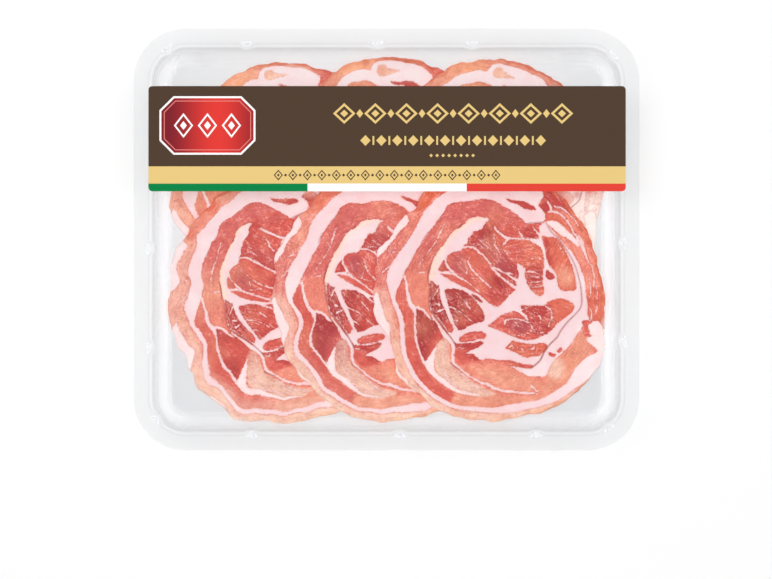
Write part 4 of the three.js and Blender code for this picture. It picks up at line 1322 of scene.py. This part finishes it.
def make_slice(name, number, material):
    sheet, u, v, chart, on_top = slice_sheet(name, height_map(name))
    mesh = bpy.data.meshes.new(name + "_meat")
    sheet.to_mesh(mesh)
    sheet.free()
    store_chart(mesh, chart, number)
    bake_map(mesh, u, v, on_top)
    finished_piece(mesh, name, material)


# %% [markdown]
# ## The finish of the meat
#
# The chart gives broad shapes with clean edges, and real meat has neither. The material frays
# the edge between fat and lean with fine noise, draws the fibres of the lean along their own
# run, and scatters marbling: short pale streaks along the fibres, most where the chart says so.
# Lean is moister than fat, so it is a little glossier, and its fibres stand in a faint relief.

# %% The meat's tones and noises
GAP_TONE = linear(156, 36, 32)
DARK_TONE = linear(132, 36, 34)
VEIN_TONE = linear(253, 206, 196)
FLECK_TONE = linear(250, 164, 142)
WARM_TONE = linear(240, 158, 122)
IVORY_TONE = linear(253, 240, 238)
BLEED_TONE = linear(243, 178, 166)
# Each noise has its scale, detail and roughness. One that follows the fibres also has the share
# that is left of its scale along them, which draws it out.
NOISES = {
    "grit": (900.0, 3.0, 0.6),
    "grain": (1900.0, 2.0, 0.6),
    "blotch": (170.0, 3.0, 0.6),
    "drift": (60.0, 2.0, 0.5),
}
FIBRE_NOISES = {"strands": (0.85, 3.0, 0.7, 0.18), "course": (0.42, 3.0, 0.62, 0.45)}
# How strongly the noises work on each thing that they roughen.
EDGE_FRAY = {"grit": 1.5, "strands": 1.3}
LEAN_FIBRES = {"strands": 0.95, "grit": 0.8}
LEAN_CLOUDS = {"blotch": 0.75, "grain": 0.8}
FLECKS = {"grain": 0.4, "grit": 0.7, "strands": 0.7}
DARK_STREAKS = {"strands": -0.7, "grit": -0.7}
VEINLET_BREAKS = {"blotch": 1.0, "strands": 0.4}
FAT_PINK = {"blotch": 0.25, "grit": 0.15, "grain": 0.15}
RELIEF = {"strands": 0.4, "grit": 0.2, "grain": 0.1, "blotch": 0.4}


class Meat(Finish):
    """The chart's values on the points, and the noises that roughen them."""

    def __init__(self):
        super().__init__("cured_meat")
        place = self.place()
        along, across, number = self.parts(self.attribute("fibre", "Vector"))
        self.noises = {name: self.noise(place, *settings) for name, settings in NOISES.items()}
        for name, (scale, detail, roughness, shrink) in FIBRE_NOISES.items():
            inputs = {"X": along * shrink, "Y": across, "Z": number}
            course = self.node("ShaderNodeCombineXYZ", inputs=inputs)
            self.noises[name] = self.noise(course, scale, detail, roughness)
        self.marbling = self.attribute("marbling")
        self.edge = self.attribute("fat_edge") + self.rough(EDGE_FRAY)

    def rough(self, strengths):
        """The sum of some noises, each at its own strength."""
        return sum(self.noises[name] * strength for name, strength in strengths.items())

    def shaded(self, tone, red, other):
        """A tone made lighter or darker; the red may change less than the green and the blue."""
        factors = {"Red": red, "Green": other, "Blue": other}
        shade = self.node("ShaderNodeCombineColor", inputs=factors)
        return self.mix(tone, shade, 1.0, "MULTIPLY")


print("noises:", ", ".join(list(NOISES) + list(FIBRE_NOISES)))

# %% The lean: warm drifts, fibres, painted shade along the fat, pale flecks, dark streaks and thin broken veins
WARM_DRIFT, WARM_SHARE = (0.0, 0.2), 0.3
FIBROUS, FIBROUS_IF_MARBLED = 0.42, 1.4
LEAN_LEVEL, RED_SHARE = 0.87, 0.5
# Where the lean meets the raised fat a painted shade line darkens it, more where it is marbled.
FAT_EDGE_SHADE, FAT_EDGE_SHADE_IF_MARBLED, FAT_EDGE_SHADE_MOST = (-0.7, -0.25), 0.5, 0.22
FLECK_STEP, FLECK_IF_MARBLED, FLECK_SHARE = (0.08, 0.24), 0.05, 0.4
DARK_STEP, DARK_SHARE = (0.12, 0.3), 0.3
VEINLET, VEINLET_SHARE = (0.014, 0.018), 0.5
BROKEN_STEP, BROKEN_IF_MARBLED, BROKEN_LESS = (-0.03, 0.09), 0.3, 0.1


def lean_shade(meat, fibrous):
    """How light the lean is; a painted shade line darkens it a little where it meets the raised
    fat.
    """
    shade = LEAN_LEVEL + meat.rough(LEAN_FIBRES) * fibrous + meat.rough(LEAN_CLOUDS)
    # The painted shade line along the fat's edge.
    most = (meat.marbling * FAT_EDGE_SHADE_IF_MARBLED).smaller(FAT_EDGE_SHADE_MOST)
    return shade * (1 - meat.edge.rise(*FAT_EDGE_SHADE) * most)


def lean_colour(meat):
    fibrous = (FIBROUS + meat.marbling * FIBROUS_IF_MARBLED).smaller(1.0)
    shade = lean_shade(meat, fibrous)
    warm = meat.noises["drift"].rise(*WARM_DRIFT) * WARM_SHARE
    lean = meat.mix(meat.attribute("lean_tone", "Color"), WARM_TONE, warm)
    lean = meat.shaded(lean, 1 + (shade - 1) * RED_SHARE, shade)
    flecks = (meat.rough(FLECKS) + meat.marbling * FLECK_IF_MARBLED).rise(*FLECK_STEP)
    lean = meat.mix(lean, FLECK_TONE, flecks * fibrous * FLECK_SHARE)
    dark = meat.rough(DARK_STREAKS).rise(*DARK_STEP)
    lean = meat.mix(lean, DARK_TONE, dark * fibrous * DARK_SHARE)
    broken = meat.rough(VEINLET_BREAKS) + meat.marbling * BROKEN_IF_MARBLED - BROKEN_LESS
    veinlets = abs(meat.noises["course"]).within(*VEINLET) * broken.rise(*BROKEN_STEP)
    return meat.mix(lean, VEIN_TONE, veinlets * VEINLET_SHARE)


# %% The fat: ivory clouds, and a little colour bled into its edge
IVORY_DRIFT, IVORY_SHARE = (-0.1, 0.1), 0.5
FAT_LEVEL, FAT_RED = 0.94, 0.97
BLEED_EDGE, BLEED_SHARE = (0.45, 0.4), 0.4


def fat_colour(meat):
    clouds = meat.noises["drift"].within(*IVORY_DRIFT) * IVORY_SHARE
    fat = meat.mix(meat.attribute("fat_tone", "Color"), IVORY_TONE, clouds)
    fat = meat.shaded(fat, FAT_RED, FAT_LEVEL + meat.rough(FAT_PINK))
    return meat.mix(fat, BLEED_TONE, meat.edge.within(*BLEED_EDGE) * BLEED_SHARE)


# %% Meat, from the chart on the points
EDGE_SOFT = 0.22
GAP_SHARE = 0.85
MOIST, DRIER = 0.42, 0.1
RELIEF_OF_FAT = 0.5
RELIEF_DEPTH = 0.00015


def meat_finish():
    meat = Meat()
    fat = meat.edge.rise(-EDGE_SOFT, EDGE_SOFT)
    gap = meat.attribute("gap") * (GAP_SHARE + meat.noises["grit"])
    colour = meat.mix(lean_colour(meat), fat_colour(meat), fat)
    return meat.finished(
        Base_Color=meat.mix(colour, GAP_TONE, gap),
        Roughness=MOIST + fat * DRIER + meat.noises["strands"] * DRIER,
        Normal=meat.bump(fat * RELIEF_OF_FAT + meat.rough(RELIEF), RELIEF_DEPTH),
        Subsurface_Weight=0.08,
        Subsurface_Radius=(1.0, 0.35, 0.25),
        Subsurface_Scale=0.0008,
        Specular_IOR_Level=0.35,
    )


MEAT = meat_finish()
for number, name in enumerate(SLICES):
    make_slice(name, number, MEAT)

# %% [markdown]
# ## The tray
#
# The tray is one sheet of clear plastic, softened by heat and sucked into a mould. Its section is
# the same all round: a flat flange, a small step and shelf, a steep wall and a round foot. So it
# starts as a rounded rectangle that is inset ring by ring down that section. The small lugs on the
# shelf keep stacked trays from jamming: there the rings are pushed inwards to a blunt point. How
# deep a point lies in a lug is kept on it, because the finish paints highlights on a lug's crests
# and a shade line in its groove by that depth.

# %% A rounded rectangle with an even run of points
LONG_EDGE = 4
SHARP = math.radians(35.0)


def rounded_rectangle(width, depth, corner, segments, spacing, level):
    """One flat face in mm, with its long sides cut into steps so that they can be shaped."""
    plate = bmesh.new()
    bmesh.ops.create_grid(plate, x_segments=1, y_segments=1, size=0.5)
    bmesh.ops.scale(plate, vec=(width, depth, 1), verts=plate.verts)
    bmesh.ops.bevel(plate, geom=plate.verts[:], offset=corner, offset_type="OFFSET",
                    affect="VERTICES", segments=segments, profile=0.5, material=-1)
    for long_edge in [edge for edge in plate.edges if edge.calc_length() > LONG_EDGE * spacing]:
        cuts = round(long_edge.calc_length() / spacing) - 1
        bmesh.ops.subdivide_edges(plate, edges=[long_edge], cuts=cuts)
    bmesh.ops.translate(plate, vec=(0, 0, level), verts=plate.verts)
    return plate


def piece_from(body, name, node, material):
    """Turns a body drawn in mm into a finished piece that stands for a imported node."""
    bmesh.ops.scale(body, vec=(MM, MM, MM), verts=body.verts)
    mesh = bpy.data.meshes.new(name)
    body.to_mesh(mesh)
    body.free()
    finished_piece(mesh, node, material)
    mesh.set_sharp_from_angle(angle=SHARP)


# %% The section, as distances in from the edge and down from the top
SHEET = 0.6
TRAY_RIM = [
    (6.2, 0), (6.7, 0.03), (7.05, 0.16), (7.35, 0.42), (7.6, 0.75), (7.85, 1.08), (8.1, 1.34),
    (8.4, 1.5), (8.7, 1.56), (8.95, 1.6), (9.2, 1.72), (9.4, 1.98), (9.5, 2.35), (9.65, 2.8),
    (9.95, 3.9), (10.5, 5.8),
]
FOOT_START = 75
FOOT_STEP = 5


def tray_section():
    foot = []
    for degrees in range(FOOT_START, -FOOT_STEP, -FOOT_STEP):
        turned = math.radians(degrees)
        drop = TRAY_TOP - SHEET - FOOT_RADIUS * (1 - math.cos(turned))
        foot.append((FLOOR_INSET - FOOT_RADIUS * math.sin(turned), drop))
    return TRAY_RIM + foot


print("rings of the tray:", len(tray_section()))

# %% The lugs: where they are, and how they push the rings inwards
LUG_HALF = 4.3
LUG_PUSH = 1.6
LUG_SLOPE = 0.45
LUG_INSET = 6.2
LUG_START = 6.5
LUG_REACH = (6.3, 11.2)
LUG_GROWS = 0.6
LUG_BOTTOM, LUG_FADES = 6.2, 3.4
LIFT_GROWS, LIFT_MOST, LIFT_FROM, LIFT_SHARE = 2.5, 1.75, 0.3, 0.85
LUGS_ON_SIDES = {
    "back": (-70, -4.5, 43),
    "front": (-67.5, 6.5, 75),
    "left": (-54, -4.5),
    "right": (-51, -2),
}
LUGS_IN_CORNERS = (44, 120, 215, 306)


def nearest_lug(x, y):
    """How far along the rim the nearest lug's middle is, and the direction in from the rim."""
    flat_x, flat_y = TRAY_WIDTH / 2 - TRAY_CORNER, TRAY_DEPTH / 2 - TRAY_CORNER
    if abs(x) > flat_x and abs(y) > flat_y:
        east, north = x - math.copysign(flat_x, x), y - math.copysign(flat_y, y)
        reach = math.hypot(east, north)
        angle = math.degrees(math.atan2(north, east)) % 360
        away = min(abs(angle - lug) for lug in LUGS_IN_CORNERS)
        return math.radians(away) * reach, (-east / reach, -north / reach), TRAY_CORNER - reach
    from_side = TRAY_WIDTH / 2 - abs(x)
    from_end = TRAY_DEPTH / 2 - abs(y)
    if from_end < from_side:
        lugs = LUGS_ON_SIDES["back" if y > 0 else "front"]
        return min(abs(x - lug) for lug in lugs), (0, -math.copysign(1, y)), from_end
    lugs = LUGS_ON_SIDES["right" if x > 0 else "left"]
    return min(abs(y - lug) for lug in lugs), (-math.copysign(1, x), 0), from_side


def clamped(value):
    return min(1, max(0, value))


def push_lugs(tray):
    """Pushes the rings inwards at the lugs, and keeps how deep each point lies in a lug's V."""
    depth = tray.verts.layers.float.new("lug")
    for vertex in tray.verts:
        away, inward, inset = nearest_lug(vertex.co.x, vertex.co.y)
        if inset > LUG_START:
            vertex[depth] = max(0, (LUG_HALF - away) * LUG_SLOPE - (inset - LUG_INSET))
        if away > LUG_HALF or not LUG_REACH[0] < inset < LUG_REACH[1]:
            continue
        point = 1 - away / LUG_HALF
        down = TRAY_TOP - vertex.co.z
        held = clamped((inset - LUG_START) / LUG_GROWS) * clamped((LUG_BOTTOM - down) / LUG_FADES)
        vertex.co.x += inward[0] * LUG_PUSH * point * held
        vertex.co.y += inward[1] * LUG_PUSH * point * held
        lift = max(0, min(down, LIFT_MOST) - LIFT_FROM) * LIFT_SHARE * held
        vertex.co.z += min(1, LIFT_GROWS * point) * lift


print("lugs:", sum(map(len, LUGS_ON_SIDES.values())) + len(LUGS_IN_CORNERS))

# %% Form the tray
TRAY_SEGMENTS = 16
TRAY_SPACING = 1.5


def form_tray(material):
    tray = rounded_rectangle(TRAY_WIDTH, TRAY_DEPTH, TRAY_CORNER,
                             TRAY_SEGMENTS, TRAY_SPACING, TRAY_TOP)
    floor = tray.faces[:]
    in_before, down_before = 0, 0
    for inset, down in tray_section():
        bmesh.ops.inset_region(tray, faces=floor, thickness=inset - in_before,
                               depth=down_before - down, use_even_offset=True, use_boundary=True)
        in_before, down_before = inset, down
    push_lugs(tray)
    bmesh.ops.solidify(tray, geom=tray.faces[:], thickness=SHEET)
    piece_from(tray, "tray_shell", "tray", material)


# %% [markdown]
# ## Clear plastic
#
# The tray is clear with a faint haze, so the floor shows a little grey through it. Its colour also
# carries painted light: a painted highlight on the round foot, a painted shade line along the step
# and the steep wall, which is seen edge-on from above, and painted shade on the floor, strongest in
# its near half. The crests round each lug get painted highlights, with a painted shade line in the
# groove between them.
# Glass with refraction would be slow and would export badly, so both the tray and the film mix a
# clear shader with a glossy one. The share of gloss grows where the surface turns away, as it
# does on every clear sheet.

# %% A clear sheet
RIPPLE = {"scale": 60.0, "detail": 2.0}
RIPPLE_SHARE = 0.3
RIPPLE_DEPTH = 0.001
GLOSS_BLEND = 0.25
EDGE_GLOSS = 0.2


def clear_finish(name, tone, haze, roughness):
    """A clear sheet: a clear shader, mixed with a glossy one by a share that may vary."""
    sheet = Finish(name)
    ripple = sheet.noise(sheet.place(), **RIPPLE) * RIPPLE_SHARE
    turned = sheet.node("ShaderNodeLayerWeight", inputs={"Blend": GLOSS_BLEND}, output="Facing")
    surface = sheet.node("ShaderNodeBsdfPrincipled", inputs={
        "Base Color": tone(sheet), "Roughness": roughness,
        "Normal": sheet.bump(ripple, RIPPLE_DEPTH)})
    clear = sheet.node("ShaderNodeBsdfTransparent")
    share = (haze(sheet) + turned * EDGE_GLOSS).smaller(1.0)
    mixed = sheet.node("ShaderNodeMixShader", inputs={0: share, 1: clear, 2: surface})
    sheet.node("ShaderNodeOutputMaterial", inputs={"Surface": mixed})
    return sheet.material


# %% The tray's haze, with its painted highlights and painted shade, zone by zone
# Colours of the tray: a painted highlight white for the foot and the lug's crests, the grey of the
# sheet's haze, and a painted shade grey for the step, the wall, the groove and the floor.
PAINTED_HIGHLIGHT_WHITE = linear(250, 252, 255)
SHEET_GREY = linear(202, 206, 214)
PAINTED_SHADE_GREY = linear(150, 154, 160)
# A zone has where it starts, from none to full, and where it ends, with the half width of that.
# The first three go by the depth under the flange, the last three by the depth inside a lug.
ZONES = {
    "step": ((0.1, 0.4), (1.3, 0.2)),
    "wall": ((1.9, 2.6), (6.5, 2.0)),
    "foot": ((7.5, 10.0), (14.35, 0.04)),
}
LUG_ZONES = {
    "outer_crest": ((0.02, 0.15), (0.5, 0.08)),
    "groove": ((0.5, 0.6), (0.9, 0.08)),
    "inner_crest": ((0.9, 1.0), (1.3, 0.08)),
}
FLOOR_START = (14.35, 14.39)
FLOOR_FAR, FLOOR_NEAR = 0.3, 0.75
UNDER_FLANGE = (0.01, 0.06)
# The foot's painted highlight shows at the sides and a little at the front; the floor's painted
# shade is strongest in the near half.
AT_SIDES = (82.0, 112.0)
AT_FRONT = (-60, 10)
FRONT_SHARE = 0.35
NEAR_HALF = (-30, 40)
FLOOR_PAINTED_SHADE = 0.4
PLAIN_HAZE = 0.034
# How much of the surface shader shows in each zone: the painted highlights on the foot and the
# crests, the painted shade on the step, the wall, the groove and the floor.
PAINTED_LIGHT_SHARES = {
    "step": 0.03, "wall": 0.06, "foot": 0.25, "floor": 0.1,
    "outer_crest": 0.5, "inner_crest": 0.5, "groove": 0.1,
}
TRAY_GLOSS_ROUGHNESS = 0.2


def tray_zones(sheet):
    """A mask for each zone. The foot's painted highlight shows most at the sides, the floor's
    painted shade most in the near half.
    """
    east, north, height = sheet.parts(sheet.place())
    down = TRAY_TOP - height / MM
    lug = sheet.attribute("lug") * down.rise(*UNDER_FLANGE)
    zones = {name: down.rise(*start) * down.within(*end) for name, (start, end) in ZONES.items()}
    for name, (start, end) in LUG_ZONES.items():
        zones[name] = lug.rise(*start) * lug.within(*end)
    at_side = (abs(east) / MM).rise(*AT_SIDES)
    zones["foot"] *= at_side.larger((north / MM).within(*AT_FRONT) * FRONT_SHARE)
    near = (north / MM).within(*NEAR_HALF)
    zones["floor"] = down.rise(*FLOOR_START) * (FLOOR_FAR + near * FLOOR_NEAR)
    return zones


def tray_tone_and_painted_light(sheet):
    zones = tray_zones(sheet)
    # Painted shade on the step, the wall, the groove and the floor; painted highlights on the foot
    # and the lug's crests.
    painted_shade = zones["wall"] + zones["step"] + zones["groove"] + zones["floor"] * FLOOR_PAINTED_SHADE
    tone = sheet.mix(SHEET_GREY, PAINTED_HIGHLIGHT_WHITE, zones["foot"])
    tone = sheet.mix(tone, PAINTED_SHADE_GREY, painted_shade.smaller(1.0))
    return sheet.mix(tone, PAINTED_HIGHLIGHT_WHITE, zones["outer_crest"] + zones["inner_crest"])


def tray_haze_and_painted_light(sheet):
    zones = tray_zones(sheet)
    return sum((zones[name] * share for name, share in PAINTED_LIGHT_SHARES.items()), PLAIN_HAZE)


form_tray(clear_finish("clear_tray", tray_tone_and_painted_light, tray_haze_and_painted_light, TRAY_GLOSS_ROUGHNESS))

# %% The film, welded to the flange
FILM_LOW, FILM_HIGH = (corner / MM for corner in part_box("film"))
FILM_WELD = TRAY_TOP + 0.03
FILM_TOP = FILM_HIGH.z - 0.06
FILM_SPACING = 6.0
FILM_BAND = 6.0
FILM_HAZE = 0.015
FILM_GLOSS_ROUGHNESS = 0.08


def stretch_film(material):
    width, depth = FILM_HIGH.x - FILM_LOW.x, FILM_HIGH.y - FILM_LOW.y
    corner = TRAY_CORNER - (FILM_LOW.x - TRAY_LOW.x)
    film = rounded_rectangle(width, depth, corner, TRAY_SEGMENTS, FILM_SPACING, FILM_WELD)
    bmesh.ops.inset_region(film, faces=film.faces[:], thickness=FILM_BAND,
                           use_even_offset=True, use_boundary=True)
    bmesh.ops.solidify(film, geom=film.faces[:], thickness=-(FILM_TOP - FILM_WELD))
    piece_from(film, "film_sheet", "film", material)


stretch_film(clear_finish("clear_film", lambda film: SHEET_GREY, lambda film: FILM_HAZE,
                          FILM_GLOSS_ROUGHNESS))

# %% [markdown]
# ## The label
#
# A wide band of printed paper runs across the film: a brown field, a gold band and a strip of
# green, white and red. The printing is flat colour, so the pattern is worked out from the place
# on the label alone. A badge and rows of plain ornament fill the places where a pack has its
# lettering.

# %% Shapes printed on the label
LABEL_LOW, LABEL_HIGH = (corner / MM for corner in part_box("label"))
LABEL_MIDDLE = (LABEL_LOW + LABEL_HIGH) / 2
PRINT_SOFT = 0.06
BROWN = linear(77, 59, 46)
GOLD = linear(227, 196, 125)
GREEN = linear(0, 127, 67)
WHITE = linear(255, 255, 254)
RED = linear(223, 66, 54)


def lozenge(x, y, half_x, half_y):
    """How far out a point is in a lozenge: 0 in its middle and 1 on its edge."""
    return abs(x) / half_x + abs(y) / half_y


def row(x, y, place):
    """A repeated row of whole cells: the place in a cell, how far it is past the cell's end, a
    mask that ends the row, and one for what stands between two cells."""
    middle_x, middle_y, half_x, pitch = place
    cells = round(2 * half_x / pitch)
    from_left = (x - middle_x) / pitch + cells / 2
    cell_x = (from_left.fraction() - 0.5) * pitch
    inside = abs(x - middle_x).within(cells * pitch / 2, PRINT_SOFT)
    between = abs(x - middle_x).within((cells - 1) * pitch / 2, PRINT_SOFT)
    return cell_x, y - middle_y, abs(cell_x) - pitch / 2, inside, between


def filled(x, y, half_x, half_y, soft):
    return lozenge(x, y, half_x, half_y).within(1, soft)


def outlined(far, size, width, core):
    """A ring at the edge of a shape, and a smaller solid shape in its middle."""
    soft = PRINT_SOFT / size
    ring = far.within(1, soft) - far.within(1 - width / size, soft)
    return ring + far.within(core, soft)


# %% The rows of ornament: middle, half length and pitch, then the halves of their lozenges
# A filled lozenge also has its soft edge, and an outlined one its size, line and core.
TITLE_ROW, TITLE_SMALL = (33.0, 12.6, 62.2, 15.55), (1.7, 2.2, 0.05)
TITLE_BIG, TITLE_OUTLINE = (5.6, 5.2), (5.2, 1.5, 0.36)
SECOND_ROW, SECOND_LEAF = (33.0, -0.9, 47.8, 7.97), (2.6, 2.7, 0.04)
SECOND_BAR_X, SECOND_BAR_Y = 0.45, 2.2
THIRD_ROW, THIRD_DOT = (32.5, -8.4, 12.0, 3.0), (0.9, 0.9, 0.1)
BAND_ROW, BAND_DOT = (0.0, -18.2, 58.0, 7.25), (0.8, 0.8, 0.1)
BAND_BEAD, BAND_OUTLINE = (2.3, 2.7), (2.5, 0.75, 0.3)


def field_ornament(x, y):
    """The rows of gold ornament on the brown field."""
    cell, level, gap, inside, between = row(x, y, TITLE_ROW)
    big = outlined(lozenge(cell, level, *TITLE_BIG), *TITLE_OUTLINE)
    title = big * inside + filled(gap, level, *TITLE_SMALL) * between
    cell, level, gap, inside, between = row(x, y, SECOND_ROW)
    bars = abs(gap).within(SECOND_BAR_X, PRINT_SOFT) * abs(level).within(SECOND_BAR_Y, PRINT_SOFT)
    second = filled(cell, level, *SECOND_LEAF) * inside + bars * between
    cell, level, _, inside, _ = row(x, y, THIRD_ROW)
    third = filled(cell, level, *THIRD_DOT) * inside
    return (title + second + third).smaller(1.0)


def band_ornament(x, y):
    """The row of brown beads and dots on the gold band."""
    cell, level, gap, inside, between = row(x, y, BAND_ROW)
    beads = outlined(lozenge(cell, level, *BAND_BEAD), *BAND_OUTLINE)
    return (beads * inside + filled(gap, level, *BAND_DOT) * between).smaller(1.0)


# %% The badge
BADGE_RED = linear(222, 58, 52)
BADGE_DARK = linear(122, 32, 42)
BADGE_PINK = linear(228, 128, 122)
BADGE = (-89.8, 6.6, 24.0, 14.6)
BADGE_CUT = 7.0
BADGE_SHINE, BADGE_SHINE_REACH = 5.0, 26.0
BADGE_LINE, BADGE_LINE_HALF = 2.4, 0.22
BADGE_EDGE = 0.95
BADGE_ROW, BADGE_LOZENGE, BADGE_OUTLINE = (0.0, 0.0, 18.0, 12.0), (4.8, 6.2), (5.2, 1.1, 0.35)


def badge(x, y, label, ground):
    """A red plaque with cut corners, a white edge, a pale line and three white lozenges."""
    middle_x, middle_y, half_x, half_y = BADGE
    east, north = x - middle_x, y - middle_y
    cut = (abs(east) + abs(north) - (half_x + half_y - BADGE_CUT)) * math.sqrt(0.5)
    out = (abs(east) - half_x).larger(abs(north) - half_y).larger(cut)
    shine = abs(east - BADGE_SHINE).rise(0.0, BADGE_SHINE_REACH)
    plaque = label.mix(BADGE_RED, BADGE_DARK, shine)
    line = abs(out + BADGE_LINE).within(BADGE_LINE_HALF, PRINT_SOFT)
    plaque = label.mix(plaque, BADGE_PINK, line)
    cell, level, _, inside, _ = row(east, north, BADGE_ROW)
    marks = outlined(lozenge(cell, level, *BADGE_LOZENGE), *BADGE_OUTLINE) * inside
    plaque = label.mix(plaque, WHITE, marks)
    plaque = label.mix(plaque, WHITE, 1 - (out + BADGE_EDGE).within(0, PRINT_SOFT))
    return label.mix(ground, plaque, out.within(0, PRINT_SOFT))


# %% The whole print
STRIP_TOP, BAND_TOP = -22.45, -13.85
STRIP_SOFT = 0.05
PAPER = {"scale": 2600.0, "detail": 3.0}
PAPER_ROUGHNESS, PAPER_ROUGHER = 0.42, 0.12
PAPER_BUMP = 0.00002


def printed_finish():
    label = Finish("printed_label")
    place = label.place()
    east, north, _ = label.parts(place)
    x = east / MM - LABEL_MIDDLE.x
    y = north / MM - LABEL_MIDDLE.y
    third = (LABEL_HIGH.x - LABEL_LOW.x) / 6
    strip = label.mix(GREEN, WHITE, x.rise(-third - STRIP_SOFT, -third + STRIP_SOFT))
    strip = label.mix(strip, RED, x.rise(third - STRIP_SOFT, third + STRIP_SOFT))
    band = label.mix(GOLD, BROWN, band_ornament(x, y))
    field = badge(x, y, label, label.mix(BROWN, GOLD, field_ornament(x, y)))
    colour = label.mix(strip, band, y.rise(STRIP_TOP - PRINT_SOFT, STRIP_TOP + PRINT_SOFT))
    colour = label.mix(colour, field, y.rise(BAND_TOP - PRINT_SOFT, BAND_TOP + PRINT_SOFT))
    grain = label.noise(place, **PAPER)
    return label.finished(
        Base_Color=colour,
        Roughness=PAPER_ROUGHNESS + grain * PAPER_ROUGHER,
        Normal=label.bump(grain, PAPER_BUMP),
        Specular_IOR_Level=0.1,
    )


# %% Cut the label and lay it on the film
LABEL_BASE = FILM_TOP + 0.03
LABEL_SHEET = 0.3
LABEL_CORNER = 2.0
LABEL_SEGMENTS = 8
LABEL_SPACING = 8.0
LABEL_BAND = 1.0


def lay_label(material):
    width, depth = LABEL_HIGH.x - LABEL_LOW.x, LABEL_HIGH.y - LABEL_LOW.y
    top = LABEL_BASE + LABEL_SHEET
    label = rounded_rectangle(width, depth, LABEL_CORNER, LABEL_SEGMENTS, LABEL_SPACING, top)
    bmesh.ops.translate(label, vec=(LABEL_MIDDLE.x, LABEL_MIDDLE.y, 0), verts=label.verts)
    bmesh.ops.inset_region(label, faces=label.faces[:], thickness=LABEL_BAND,
                           use_even_offset=True, use_boundary=True)
    bmesh.ops.solidify(label, geom=label.faces[:], thickness=LABEL_SHEET)
    piece_from(label, "label_print", "label", material)


lay_label(printed_finish())
